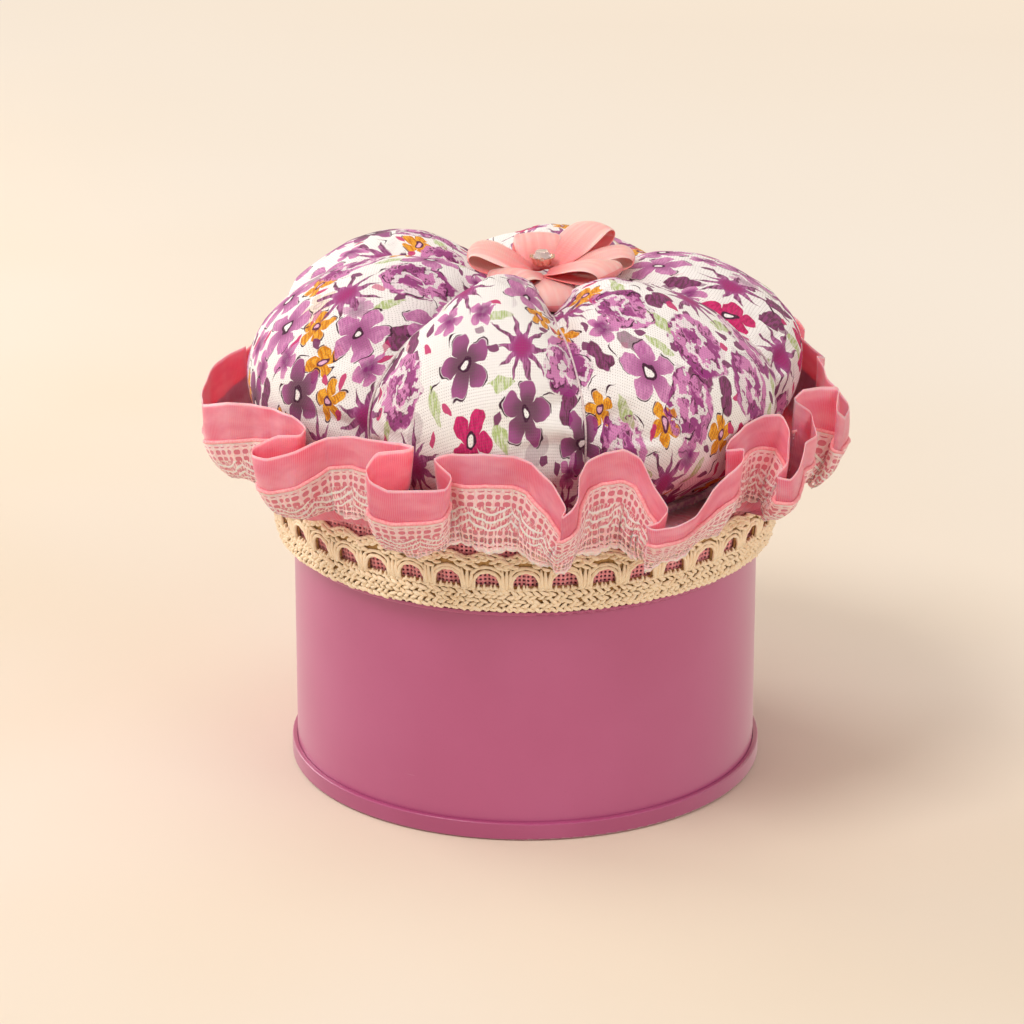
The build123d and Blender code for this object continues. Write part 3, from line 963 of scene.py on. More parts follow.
@dataclass(frozen=True)
class PetalSatin:
    """Soft satin ribbon: pale on the loops' upper face, with coral painted shade inside the loops and at
    the roots and a painted highlight along the upper face's edges.
    """

    colour: str = "ffaba6"
    pale: str = "ffd4cd"
    # Colour of the painted shade inside the loops and at the roots.
    deep: str = "fa7c80"
    # Colour of the painted highlight along the upper edges.
    edge: str = "ffe6e0"
    pick_pitch: float = 0.32

    def material(self, name: str) -> bpy.types.Material:
        """The finish for a loop whose stored cloth place is along, across and layer plus reach.

        Args:
            name: The material's name.

        Returns:
            The material.
        """
        graph = Graph(
            name, roughness=0.36, specular_ior_level=0.5, sheen_weight=0.3, sheen_roughness=0.35,
            anisotropic=0.5, subsurface_weight=0.45, subsurface_scale=1.0 * MM,
        )
        along, across, layer = graph.split(graph.stored("cloth"))
        upper = layer.above(4.0, 6.0)
        out = layer - upper * 10
        streak = graph.noise(graph.joined(across * 1.1, along * 0.1), 1.0, 3.0)
        colour = graph.over(streak.above(0.3, 0.8) * 0.6, self.colour, self.pale)
        # Painted shade: the lower layer and the roots of each loop are darkened towards the deep colour.
        loop_painted_shade = (out.above(0.8, 0.15) * 0.85 + (1 - upper) * 0.75).least(1.0)
        colour = graph.over(loop_painted_shade, colour, self.deep)
        # Painted highlight along the edges of the upper layer.
        edge = abs(across).above(3.9, 4.4) * upper
        colour = graph.over(edge * 0.5, colour, self.edge)
        picks = (along * (2 * math.pi / self.pick_pitch)).sine()
        graph.set("Base Color", colour)
        graph.emboss(picks * 0.3 + streak * 0.9, 0.06, 0.6)
        return graph.material


# Making pieces


def make_mesh(
    name: str,
    points: np.ndarray,
    faces: list[tuple[int, ...]],
    material: bpy.types.Material,
    stored: dict[str, np.ndarray] | None = None,
) -> bpy.types.Object:
    """A smooth mesh object.

    Args:
        name: The piece's name.
        points: One row of x, y and z to a point, in millimetres.
        faces: Point numbers round each face.
        material: Its finish.
        stored: Vectors kept on the points, by name.

    Returns:
        The new object, in the scene.
    """
    mesh = bpy.data.meshes.new(name)
    mesh.from_pydata((np.asarray(points, float) * MM).tolist(), [], [tuple(face) for face in faces])
    mesh.polygons.foreach_set("use_smooth", [True] * len(mesh.polygons))
    for key, values in (stored or {}).items():
        attribute = mesh.attributes.new(key, "FLOAT_VECTOR", "POINT")
        attribute.data.foreach_set("vector", np.asarray(values, np.float32).ravel())
    mesh.materials.append(material)
    mesh.validate()
    made = bpy.data.objects.new(name, mesh)
    bpy.context.scene.collection.objects.link(made)
    return made


def make_sheet(
    name: str,
    points: np.ndarray,
    cloth: np.ndarray,
    material: bpy.types.Material,
    thickness: float,
    closed: bool = True,
) -> bpy.types.Object:
    """A piece of cloth from rows of points, thickened to both sides.

    Args:
        name: The piece's name.
        points: Rows of points in millimetres.
        cloth: Their places on the flat cloth.
        material: Its finish.
        thickness: How thick the cloth is, in millimetres.
        closed: Whether each row's end joins its start.

    Returns:
        The new object, in the scene.
    """
    faces = grid_faces(*points.shape[:2], closed)
    made = make_mesh(name, points.reshape(-1, 3), faces, material, {"cloth": cloth.reshape(-1, 3)})
    add_modifier(made, "SOLIDIFY", thickness=thickness * MM, offset=0.0)
    return made


def flat_places(along: np.ndarray, across: np.ndarray) -> np.ndarray:
    """Places on a flat strip, a row to each distance across it."""
    return np.stack(np.broadcast_arrays(along[None, :], across[:, None], 0.0), axis=-1)


def fit(made: bpy.types.Object, slot: Slot, *replaced: str) -> None:
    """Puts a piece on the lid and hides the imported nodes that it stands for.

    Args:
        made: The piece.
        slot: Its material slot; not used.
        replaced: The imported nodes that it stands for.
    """
    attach(made, LID_BODY)
    if replaced:
        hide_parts(*replaced)
    log.info("%s: %d faces on the %s", made.name, len(made.data.polygons), LID_BODY)


def add_modifier(made: bpy.types.Object, kind: str, **settings: object) -> None:
    """Adds a modifier with its settings."""
    assign(made.modifiers.new(kind.title(), kind), **settings)


def grid_faces(rows: int, columns: int, closed: bool = False) -> list[tuple[int, int, int, int]]:
    """Faces of a grid of points.

    Args:
        rows: Number of rows.
        columns: Points in a row.
        closed: Whether each row's end joins its start.

    Returns:
        Four point numbers to a face, counted row by row.
    """
    faces = []
    for row in range(rows - 1):
        for column in range(columns if closed else columns - 1):
            following = (column + 1) % columns
            here, above = row * columns, (row + 1) * columns
            faces.append((here + column, here + following, above + following, above + column))
    return faces


def ring_place(azimuth: np.ndarray, radius: np.ndarray, height: np.ndarray) -> np.ndarray:
    """Points at azimuths in degrees from the front, radii and heights.

    Args:
        azimuth: Degrees from the front.
        radius: Distance from the middle axis.
        height: Height over the table.

    Returns:
        The points.
    """
    turn = np.radians(azimuth)
    azimuth, radius, height = np.broadcast_arrays(turn, radius, height)
    return np.stack((radius * np.sin(azimuth), -radius * np.cos(azimuth), height), axis=-1)


# Sub-assemblies


@dataclass
class Tin:
    """Painted can: its wall and the base with the rolled seam, both as packed."""

    wall_bare_radius: float = 42.78
    base_bare_radius: float = 42.55
    bare_ceiling: float = 100.0
    band_colour: str = "a84272"

    def build(self) -> None:
        """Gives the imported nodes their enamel."""
        walls = Enamel().material("tin_enamel", self.wall_bare_radius, self.bare_ceiling)
        base = Enamel(self.band_colour).material("base_enamel", self.base_bare_radius, self.bare_ceiling)
        dress("tin_wall", walls)
        dress("tin_base", base)


def dress(node: str, material: bpy.types.Material) -> None:
    """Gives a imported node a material.

    Args:
        node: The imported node's name.
        material: Its finish.
    """
    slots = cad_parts[node].material_slots
    for slot in slots:
        slot.material = material
    if not slots:
        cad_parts[node].data.materials.append(material)
    log.info("%s: packed node in %s", node, material.name)


@dataclass
class Lid:
    """Slip lid, as packed, and the card disc on it."""

    bare_radius: float = 43.55
    bare_ceiling: float = 57.8

    def build(self) -> None:
        """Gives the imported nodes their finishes."""
        dress("lid_shell", Enamel().material("lid_enamel", self.bare_radius, self.bare_ceiling))
        dress("cushion_disc", PlainCloth("ece2e0", "c9a6c0", grain=1.2, depth=0.05).material("disc_card"))


@dataclass
class Cushion:
    """Stuffed cushion: printed cotton over fibre, drawn into six segments."""

    bottom: float = 59.5
    side_radius: float = 50.3
    base_radius: float = 39.0
    side_rise: float = 17.5
    crest_radius: float = 24.5
    crest_rise: float = 35.8
    crest_lean: float = 3.3
    highest_crest: float = -25.0
    dimple_radius: float = 2.0
    dimple_rise: float = 25.5
    dimple_shift: float = 3.0
    crease_depth: float = 4.3
    crease_drop_share: float = 0.33
    creases: tuple[float, ...] = (-37.0, 13.0, 75.0, 137.0, 199.0, 261.0)
    fullness: float = 2.6
    columns: int = 30
    rows: int = 84
    stuffing: float = 0.85
    settling_frames: int = 20
    furthest_move: float = 4.0
    cloth_centre: float = 12.0
    cloth_fall: float = 36.0
    cloth_swing: float = 6.5
    pucker_centre: float = 16.0
    thread_points: int = 90
    thread_radius: float = 0.2

    def meridian(self, azimuth: float, full: float, share: np.ndarray) -> tuple[np.ndarray, np.ndarray]:
        """One line from the bottom over the crest into the dimple, on four tangent arcs.

        Args:
            azimuth: Where the line stands.
            full: 1 in the middle of a segment and 0 in a crease.
            share: Shares of the way along the line.

        Returns:
            Radius and height at each share.
        """
        side = self.side_radius - self.crease_depth * (1 - full)
        lean = self.crest_lean * math.cos(math.radians(azimuth - self.highest_crest))
        crest = self.crest_rise - self.side_rise + lean
        top = self.side_rise + crest * (1 - self.crease_drop_share * (1 - full))
        drawn, across, rise = side - self.base_radius, side - self.crest_radius, top - self.side_rise
        sink, inwards = top - self.dimple_rise, self.crest_radius - self.dimple_radius
        lower = (drawn**2 + self.side_rise**2) / (2 * drawn)
        shoulder = rise**2 / across
        crown = across * (across + rise) / (2 * rise)
        hollow = (inwards**2 + sink**2) / (2 * sink)
        turn = math.atan2(self.side_rise - top + crown, side - shoulder - self.crest_radius)
        foot = math.asin(-self.side_rise / lower)
        mouth = math.pi - math.asin((self.dimple_rise - top + hollow) / hollow)
        arcs = (
            (side - lower, self.side_rise, lower, foot, 0.0),
            (side - shoulder, self.side_rise, shoulder, 0.0, turn),
            (self.crest_radius, top - crown, crown, turn, math.pi / 2),
            (self.crest_radius, top - hollow, hollow, math.pi / 2, mouth),
        )
        lengths = np.array([radius * abs(last - first) for _, _, radius, first, last in arcs])
        ends = np.concatenate(([0.0], np.cumsum(lengths)))
        way = share * ends[-1]
        radii, heights = np.zeros_like(way), np.zeros_like(way)
        for (centre, level, radius, first, last), begin, finish in zip(arcs, ends, ends[1:]):
            inside = (way >= begin) & (way <= finish)
            angle = first + (last - first) * (way[inside] - begin) / (finish - begin)
            radii[inside] = centre + radius * np.cos(angle)
            heights[inside] = level + radius * np.sin(angle)
        return radii, self.bottom + heights

    def shifted(self, points: np.ndarray, radius: np.ndarray) -> np.ndarray:
        """Carries points inside the crest along, as the dimple lies off centre.

        Args:
            points: The points.
            radius: Their radii.

        Returns:
            The moved points.
        """
        share = np.clip((self.crest_radius - radius) / (self.crest_radius - self.dimple_radius), 0, 1)
        points[..., 0] += self.dimple_shift * share
        return points

    def azimuths(self) -> tuple[np.ndarray, np.ndarray]:
        """Azimuth and fullness of each column.

        Returns:
            Both, one to a column.
        """
        following = (*self.creases[1:], self.creases[0] + 360)
        azimuth, full = [], []
        for start, end in zip(self.creases, following):
            for index in range(self.columns):
                share = index / self.columns
                azimuth.append(start + share * (end - start))
                full.append(1 - abs(2 * share - 1) ** self.fullness)
        return np.array(azimuth), np.array(full)

    def cloth_place(self, points: np.ndarray) -> np.ndarray:
        """Where each point lies on the flat cloth, by its way down from the middle.

        Args:
            points: The cover's points in millimetres.

        Returns:
            The flat places.
        """
        radius = np.hypot(points[:, 0], points[:, 1])
        fall = np.arctan2(radius, points[:, 2] - (self.bottom + self.cloth_centre))
        way = self.cloth_fall * fall + self.cloth_swing * np.sin(fall)
        azimuth = np.arctan2(points[:, 1], points[:, 0])
        return np.stack((way * np.cos(azimuth), way * np.sin(azimuth), np.zeros(len(points))), axis=-1)

    def inflate(self, made: bpy.types.Object, pinned: np.ndarray) -> np.ndarray:
        """Blows the cover up by a short cloth simulation.

        Args:
            made: The cover.
            pinned: How firmly each point is held, from 0 to 1.

        Returns:
            The new points in millimetres.
        """
        group = made.vertex_groups.new(name="held")
        for index in np.nonzero(pinned > 0)[0]:
            group.add([int(index)], float(pinned[index]), "REPLACE")
        cloth = made.modifiers.new("Cloth", "CLOTH")
        assign(
            cloth.settings,
            quality=6,
            mass=0.2,
            use_pressure=True,
            uniform_pressure_force=4.0,
            vertex_group_mass="held",
            pin_stiffness=1.0,
            tension_stiffness=18,
            compression_stiffness=18,
            shear_stiffness=8,
            bending_stiffness=0.4,
            shrink_min=-0.035,
        )
        cloth.settings.effector_weights.gravity = 0
        cloth.collision_settings.use_collision = False
        assign(cloth.point_cache, frame_start=1, frame_end=self.settling_frames)
        start = np.array([point.co for point in made.data.vertices], float)
        for step in range(1, self.settling_frames + 1):
            bpy.context.scene.frame_set(step)
        evaluated = made.evaluated_get(bpy.context.evaluated_depsgraph_get())
        end = np.array([point.co for point in evaluated.data.vertices], float)
        bpy.context.scene.frame_set(1)
        made.modifiers.remove(cloth)
        made.vertex_groups.remove(group)
        moved = (end - start) / MM
        reach = np.linalg.norm(moved, axis=1)
        moved *= np.minimum(1.0, self.furthest_move / np.maximum(reach, 1e-9))[:, None]
        log.info("cushion cloth moved by up to %.2f mm", float(reach.max()))
        return start / MM + moved

    def puckered(self, points: np.ndarray) -> np.ndarray:
        """Adds the small puckers that the drawn threads leave beside the creases.

        Args:
            points: The cover's points in millimetres.

        Returns:
            The moved points.
        """
        chance = random.Random(21)
        grid = points.reshape(self.rows, -1, 3).copy()
        column = np.arange(grid.shape[1]) % self.columns
        beside = np.minimum(column, self.columns - column)
        level = np.sin(np.linspace(0, math.pi, self.rows)) ** 0.5
        lobe = 0.9 * np.sin(np.minimum(1.0, beside / (self.columns / 2)) * math.pi / 2)
        lobe = lobe - 0.7 * np.exp(-((beside / 1.6) ** 2))
        middle = np.array((0.0, 0.0, self.bottom + self.pucker_centre))
        outward = grid - middle
        outward /= np.maximum(np.linalg.norm(outward, axis=2, keepdims=True), 1e-9)
        grid += outward * (level[:, None] * lobe[None, :])[..., None]
        row = np.arange(self.rows)
        for crease in range(len(self.creases)):
            for side in (-1, 1):
                phase, pace = chance.uniform(0, 6.28), chance.uniform(0.62, 0.85)
                ripple = np.sin(row * pace + phase) + 0.5 * np.sin(row * pace * 1.7 + 2 * phase)
                for step in range(1, 8):
                    column = (crease * self.columns + side * step) % grid.shape[1]
                    reach = 0.42 * math.exp(-(((step - 2.2) / 2.4) ** 2))
                    grid[:, column] += outward[:, column] * (np.roll(ripple, step // 2) * reach)[:, None]
        return grid.reshape(-1, 3)

    def build(self) -> None:
        """Builds the cover, and the drawn threads in its creases."""
        azimuth, full = self.azimuths()
        share = np.linspace(0, 1, self.rows)
        lines = [self.meridian(float(place), float(one), share) for place, one in zip(azimuth, full)]
        radius = np.stack([line[0] for line in lines], axis=1)
        height = np.stack([line[1] for line in lines], axis=1)
        points = self.shifted(ring_place(azimuth[None, :], radius, height), radius).reshape(-1, 3)
        faces = grid_faces(self.rows, len(azimuth), closed=True)
        faces.append(tuple(range(len(azimuth) - 1, -1, -1)))
        last = (self.rows - 1) * len(azimuth)
        faces.append(tuple(range(last, last + len(azimuth))))
        cover = make_mesh("cushion", points, faces, PrintedCotton().material("printed_cotton"))
        pinned = np.zeros((self.rows, len(azimuth)))
        pinned[:, :: self.columns] = 1.0
        pinned[0], pinned[-1] = 1.0, 1.0
        points = self.inflate(cover, pinned.ravel())
        points = self.puckered(points)
        cover.data.vertices.foreach_set("co", (points * MM).astype(np.float32).ravel())
        attribute = cover.data.attributes.new("cloth", "FLOAT_VECTOR", "POINT")
        attribute.data.foreach_set("vector", self.cloth_place(points).astype(np.float32).ravel())
        add_modifier(cover, "SUBSURF", levels=1, render_levels=1)
        fit(cover, Slot.PRINTED_COTTON, "cushion_cover", "cushion_stuffing")
        self.threads()

    def threads(self) -> None:
        """Builds the threads that draw the segments in."""
        share = np.linspace(0.02, 0.985, self.thread_points)
        bag = Bag()
        for azimuth in self.creases:
            radius, height = self.meridian(azimuth, 0.0, share)
            path = ring_place(np.full(self.thread_points, azimuth), radius + 0.15, height + 0.12)
            bag.tube(self.shifted(path, radius), self.thread_radius)
        thread = PlainCloth("e9dcd8", "c9b2b8", grain=3.0, depth=0.05).material("drawn_thread")
        made = bag.build("crease_threads", thread)
        fit(made, Slot.SEWING_THREAD, "segment_threads")


@dataclass
class Bag:
    """Points and faces of a piece that is made of many tubes and strips."""

    sides: int = 6
    points: list[np.ndarray] = field(default_factory=list)
    faces: list[tuple[int, ...]] = field(default_factory=list)
    count: int = 0

    def add(self, points: np.ndarray, faces: list[tuple[int, ...]]) -> None:
        """Adds one part.

        Args:
            points: Its points in millimetres.
            faces: Its faces, by its own point numbers.
        """
        self.points.append(points)
        self.faces.extend(tuple(index + self.count for index in face) for face in faces)
        self.count += len(points)

    def tube(self, path: np.ndarray, radius: np.ndarray | float, closed: bool = False) -> None:
        """Adds a round tube along a path.

        Args:
            path: Points along its middle.
            radius: Its radius, one for all or one to a point.
            closed: Whether its end joins its start.
        """
        count, sides = len(path), self.sides
        radii = np.broadcast_to(radius, (count,))
        if closed:
            along = np.roll(path, -1, 0) - np.roll(path, 1, 0)
        else:
            along = np.gradient(path, axis=0)
        along /= np.maximum(np.linalg.norm(along, axis=1, keepdims=True), 1e-9)
        side = np.zeros_like(along)
        first = np.cross(along[0], (0.3, 0.2, 0.93))
        side[0] = first / np.linalg.norm(first)
        for index in range(1, count):
            kept = side[index - 1] - along[index] * np.dot(side[index - 1], along[index])
            side[index] = kept / np.linalg.norm(kept)
        other = np.cross(along, side)
        if closed:
            home = math.atan2(np.dot(side[-1], other[0]), np.dot(side[-1], side[0]))
            turns = -home * np.arange(count) / count
            side, other = (
                side * np.cos(turns)[:, None] + other * np.sin(turns)[:, None],
                other * np.cos(turns)[:, None] - side * np.sin(turns)[:, None],
            )
        angle = np.arange(sides) * (2 * math.pi / sides)
        ring = side[:, None, :] * np.cos(angle)[None, :, None]
        ring = ring + other[:, None, :] * np.sin(angle)[None, :, None]
        points = path[:, None, :] + ring * radii[:, None, None]
        faces = grid_faces(count, sides, closed=True)
        last = (count - 1) * sides
        if closed:
            faces += [(last + at, last + (at + 1) % sides, (at + 1) % sides, at) for at in range(sides)]
        else:
            faces.append(tuple(range(sides - 1, -1, -1)))
            faces.append(tuple(range(last, last + sides)))
        self.add(points.reshape(-1, 3), faces)

    def build(self, name: str, material: bpy.types.Material) -> bpy.types.Object:
        """Makes the object."""
        return make_mesh(name, np.concatenate(self.points), self.faces, material)


def respaced(line: np.ndarray, step: float) -> np.ndarray:
    """The same line with its points a step apart.

    Args:
        line: Its points.
        step: Distance between the new points.

    Returns:
        The new points.
    """
    way = np.concatenate(([0.0], np.cumsum(np.linalg.norm(np.diff(line, axis=0), axis=1))))
    places = np.linspace(0, way[-1], max(2, round(way[-1] / step)))
    return np.stack([np.interp(places, way, line[:, axis]) for axis in range(3)], axis=-1)


def smooth_path(points: np.ndarray, step: float) -> np.ndarray:
    """A smooth line through points.

    Args:
        points: The points in millimetres.
        step: Distance between the new points.

    Returns:
        The new points.
    """
    padded = np.concatenate((2 * points[:1] - points[1:2], points, 2 * points[-1:] - points[-2:-1]))
    dense = []
    for p0, p1, p2, p3 in zip(padded, padded[1:], padded[2:], padded[3:]):
        pairs = ((p0, p1), (p1, p2), (p2, p3))
        knots = np.cumsum([0.0] + [max(np.linalg.norm(b - a), 1e-6) ** 0.5 for a, b in pairs])
        t = np.linspace(knots[1], knots[2], 24, endpoint=False)[:, None]
        t0, t1, t2, t3 = knots
        a1 = (t1 - t) / (t1 - t0) * p0 + (t - t0) / (t1 - t0) * p1
        a2 = (t2 - t) / (t2 - t1) * p1 + (t - t1) / (t2 - t1) * p2
        a3 = (t3 - t) / (t3 - t2) * p2 + (t - t2) / (t3 - t2) * p3
        b1 = (t2 - t) / (t2 - t0) * a1 + (t - t0) / (t2 - t0) * a2
        b2 = (t3 - t) / (t3 - t1) * a2 + (t - t1) / (t3 - t1) * a3
        dense.append((t2 - t) / (t2 - t1) * b1 + (t - t1) / (t2 - t1) * b2)
    return respaced(np.concatenate((*dense, points[-1:])), step)


def creased_path(points: np.ndarray, step: float, crispness: float) -> np.ndarray:
    """A line through points that is flattened between them and creased at them.

    Args:
        points: The points in millimetres.
        step: Distance between the new points.
        crispness: 0 for a smooth line and 1 for straight pieces.

    Returns:
        The new points.
    """
    dense = smooth_path(points, step / 4)
    nearest = [int(np.argmin(np.linalg.norm(dense - point, axis=1))) for point in points]
    flat = dense.copy()
    for begin, finish in zip(nearest, nearest[1:]):
        share = np.linspace(0, 1, max(finish - begin, 1), endpoint=False)[:, None]
        flat[begin:finish] = dense[begin] + (dense[finish] - dense[begin]) * share[: finish - begin]
    return respaced(dense * (1 - crispness) + flat * crispness, step)


class FoldKind(Enum):
    """Shapes that a fold of the ruffle takes, as azimuth, radius and height of its top edge."""

    LAPPED = (
        (-9.0, 52.5, 77.3), (-3.5, 53.2, 77.6), (0.0, 55.0, 77.5), (-1.0, 56.6, 77.0), (-6.0, 58.6, 75.5),
        (-7.0, 60.2, 73.5), (-5.0, 61.0, 72.0), (0.0, 60.0, 71.5), (4.5, 57.5, 72.5), (5.0, 55.0, 74.5),
        (3.5, 53.5, 76.0),
    )
    POINTED = (
        (-7.0, 52.5, 77.2), (-2.5, 55.5, 73.5), (-0.5, 59.5, 70.0), (-1.5, 60.8, 68.5), (0.5, 59.8, 69.5),
        (2.0, 57.5, 71.5), (2.8, 54.6, 74.5), (6.0, 53.0, 76.3),
    )
    SPREAD = (
        (-8.0, 52.6, 76.8), (-4.0, 56.0, 72.0), (-2.0, 59.2, 68.5), (-5.5, 60.6, 66.8), (-3.5, 61.4, 66.0),
        (1.0, 60.6, 66.0), (5.0, 58.6, 69.5), (8.0, 55.5, 74.0), (7.0, 53.4, 75.5),
    )


@dataclass
class Ruffle:
    """Gathered strip round the cushion: ribbed satin above, lace over its lower part."""

    gather_radius: float = 48.3
    gather_height: float = 58.7
    width: float = 20.0
    lace_from: float = 6.5
    lace_width: float = 10.5
    lace_rows: int = 20
    lace_levels: tuple[float, ...] = (0.0, 0.12, 0.3, 0.48)
    lace_stand: tuple[float, ...] = (0.4, 0.55, 0.9, 1.2)
    lace_thickness: float = 0.2
    lace_take_up: float = 0.88
    scallop: float = 2.6
    flutter: float = 12.0
    satin_rows: int = 27
    satin_thickness: float = 0.12
    piping_radius: float = 0.36
    thread_place: Spot = (48.75, 59.2)
    thread_turns: int = 110
    thread_radius: float = 0.2
    hem: tuple[Spot, ...] = (
        (0, 58.2), (5, 58.0), (15, 58.2), (24, 57.2), (34, 59.0), (43, 61.0), (60, 61.0), (90, 60.5),
        (140, 60.0), (180, 59.5), (230, 60.5), (270, 61.0), (285, 61.5), (300, 61.5), (312, 63.0),
        (322, 61.5), (330, 60.6), (345, 59.3), (360, 58.2),
    )
    heading: tuple[Spot, ...] = ((47.0, 59.15), (45.2, 59.0), (43.4, 58.6), (40.7, 58.45))
    step: float = 0.8
    crispness: float = 0.8
    upright_radius: float = 52.5
    unrolled_radius: float = 50.0
    settling: float = 9.0
    pleat: float = 2.7
    front: tuple[tuple[float, float, float], ...] = (
        (-110, 56.5, 71.5), (-101, 53, 76), (-92, 57, 75.5), (-80, 60, 73), (-75, 60.3, 73.5),
        (-68, 57.5, 76), (-63, 55, 76.8), (-58, 53, 77.2), (-52, 52.5, 77.3), (-47, 53.2, 76.2),
        (-46.5, 55, 75.5), (-50.3, 57, 75), (-54, 60, 72.3), (-52.5, 61, 71.6), (-49, 60.6, 71.8),
        (-44, 58.5, 74), (-42.5, 56, 75.2), (-41, 53.2, 76), (-35, 52.5, 77.3), (-30, 52.6, 77.3),
        (-24, 53.4, 78), (-20.6, 55, 78.3), (-21.5, 56.4, 78.2), (-26.4, 58.4, 77.5), (-27.6, 60, 75),
        (-26.4, 61, 73), (-23.4, 60.6, 71.8), (-18, 59.2, 72), (-14, 57, 72), (-13.6, 55, 73.5),
        (-17.6, 53.4, 75.8), (-14.6, 52.5, 76.8), (-8, 52.5, 77.2), (-2.5, 52.5, 76.9), (0.9, 53.2, 76),
        (4.6, 56.2, 73.2), (6.6, 59.6, 69.8), (5.6, 60.8, 68.3), (7.4, 59.9, 69.5), (8.8, 58, 70.8),
        (9.6, 54.9, 74), (11.4, 53, 75.7), (15, 52.5, 76.9), (19, 52.5, 77.2), (22, 52.8, 75.4),
        (23.3, 56, 71), (24.8, 59.2, 67.5), (22.5, 60.4, 66), (19.8, 61, 65.8), (21, 61.6, 65.2),
        (25, 60.8, 65), (29.8, 59.8, 65.6), (33.8, 58.6, 69.2), (37.5, 57.8, 71.2), (41.5, 57.4, 72.6),
        (43.6, 55.4, 74), (40.8, 53.5, 73.8), (43, 52.8, 75.2), (47, 52.6, 76.6), (53, 52.8, 77.2),
        (57, 54.2, 76.5), (55.5, 56.5, 74.3), (51, 59.5, 70.5), (46.5, 60.6, 69.3), (49, 61.4, 68.2),
        (53, 60.6, 68.6), (57.3, 59, 72), (63.5, 58, 71.5), (67.5, 55.5, 74), (63.5, 53.6, 77.5),
        (66, 54.2, 78.6), (70.5, 56.5, 78), (72.5, 59, 77.5), (68, 60.2, 74.8), (71, 61, 72.5),
        (78, 59.5, 72.8), (85, 56, 74.5), (93, 53.5, 76.5), (98.5, 56.5, 74.3), (104, 57, 73),
        (110, 54, 75.5),
    )
    rear: tuple[tuple[float, FoldKind, bool], ...] = (
        (124.0, FoldKind.LAPPED, False), (143.0, FoldKind.POINTED, True), (161.0, FoldKind.SPREAD, False),
        (180.0, FoldKind.LAPPED, True), (198.0, FoldKind.POINTED, False), (216.0, FoldKind.LAPPED, False),
        (234.0, FoldKind.SPREAD, True),
    )

    def edge(self) -> np.ndarray:
        """The control points of the top edge as azimuth, radius and height.

        Returns:
            One row to a control point.
        """
        chance = random.Random(11)
        controls = list(self.front)
        for centre, kind, mirrored in self.rear:
            fold = [(-a, r, z) for a, r, z in reversed(kind.value)] if mirrored else list(kind.value)
            size, lift = chance.uniform(0.9, 1.0), chance.uniform(-0.8, 0.8)
            upright = self.upright_radius
            controls += [(centre + a * size, upright + (r - upright) * size, z + lift) for a, r, z in fold]
        return np.array(controls, float)

    def line(self) -> tuple[np.ndarray, np.ndarray, np.ndarray, float]:
        """The top edge and the gather under it.

        Returns:
            Azimuth, radius and height along the top, the gather's azimuth, the share of
            the way round, and the edge's length.
        """
        edge = self.edge()
        flat = np.stack((np.radians(edge[:, 0]) * self.unrolled_radius, edge[:, 1], edge[:, 2]), axis=-1)
        turn = 2 * math.pi * self.unrolled_radius
        copies = np.concatenate((flat - (turn, 0, 0), flat, flat + (turn, 0, 0)))
        path = creased_path(copies, self.step, self.crispness)
        first = int(np.argmin(np.linalg.norm(path - flat[0], axis=1)))
        last = int(np.argmin(np.linalg.norm(path - (flat[0] + (turn, 0, 0)), axis=1)))
        path = path[first:last]
        azimuth = np.degrees(path[:, 0] / self.unrolled_radius)
        count = len(path)
        share = np.arange(count) / count
        drift = azimuth - azimuth[0] - 360 * share
        reach = int(self.settling / self.step)
        window = np.exp(-0.5 * (np.arange(-3 * reach, 3 * reach + 1) / reach) ** 2)
        window /= window.sum()
        wrapped = np.concatenate((drift[-3 * reach :], drift, drift[: 3 * reach]))
        settled = np.convolve(wrapped, window, "valid") + azimuth[0] + 360 * share
        settled = np.maximum.accumulate(settled) * 0.9 + (azimuth[0] + 360 * share) * 0.1
        places = ring_place(azimuth, path[:, 1], path[:, 2])
        length = float(np.linalg.norm(np.roll(places, -1, 0) - places, axis=1).sum())
        return np.stack((azimuth, path[:, 1], path[:, 2]), axis=-1), settled, share, length

    def surface(self, shares: np.ndarray) -> tuple[np.ndarray, np.ndarray, float]:
        """The strip's middle face.

        Args:
            shares: 0 at the top edge and 1 at the gather, one to a row.

        Returns:
            Row-by-column points, the gather's azimuths, and the edge's length.
        """
        top, gather, share, length = self.line()
        t = shares[:, None]
        depth = np.clip((top[:, 1] - self.upright_radius) / 7.5, 0, 1.1)[None, :]
        radius = self.gather_radius + (top[:, 1] - self.gather_radius) * (1 - t**2.2) ** 0.6
        height = self.gather_height + (top[:, 2] - self.gather_height) * (1 - t) ** (1 + 0.75 * depth)
        azimuth = gather + (top[:, 0] - gather) * (1 - t**1.6)
        way = share * length
        pleat = np.sin(2 * math.pi * way * round(length / self.pleat) / length)[None, :]
        radius = radius + 0.35 * pleat * t**1.5
        chance = random.Random(5)
        buckle = np.zeros_like(radius)
        for _ in range(7):
            waves = round(length / chance.uniform(7, 22))
            phase = chance.uniform(0, 6.28)
            lean = chance.uniform(-3.5, 3.5)
            swing = np.sin(2 * math.pi * share[None, :] * waves + lean * t + phase)
            buckle = buckle + swing * chance.uniform(0.1, 0.24)
        middle = np.sin(np.clip(t, 0, 1) * math.pi) * 0.8 + (1 - t) * 0.5
        radius = radius + buckle * middle
        return ring_place(azimuth, radius, height), gather, length

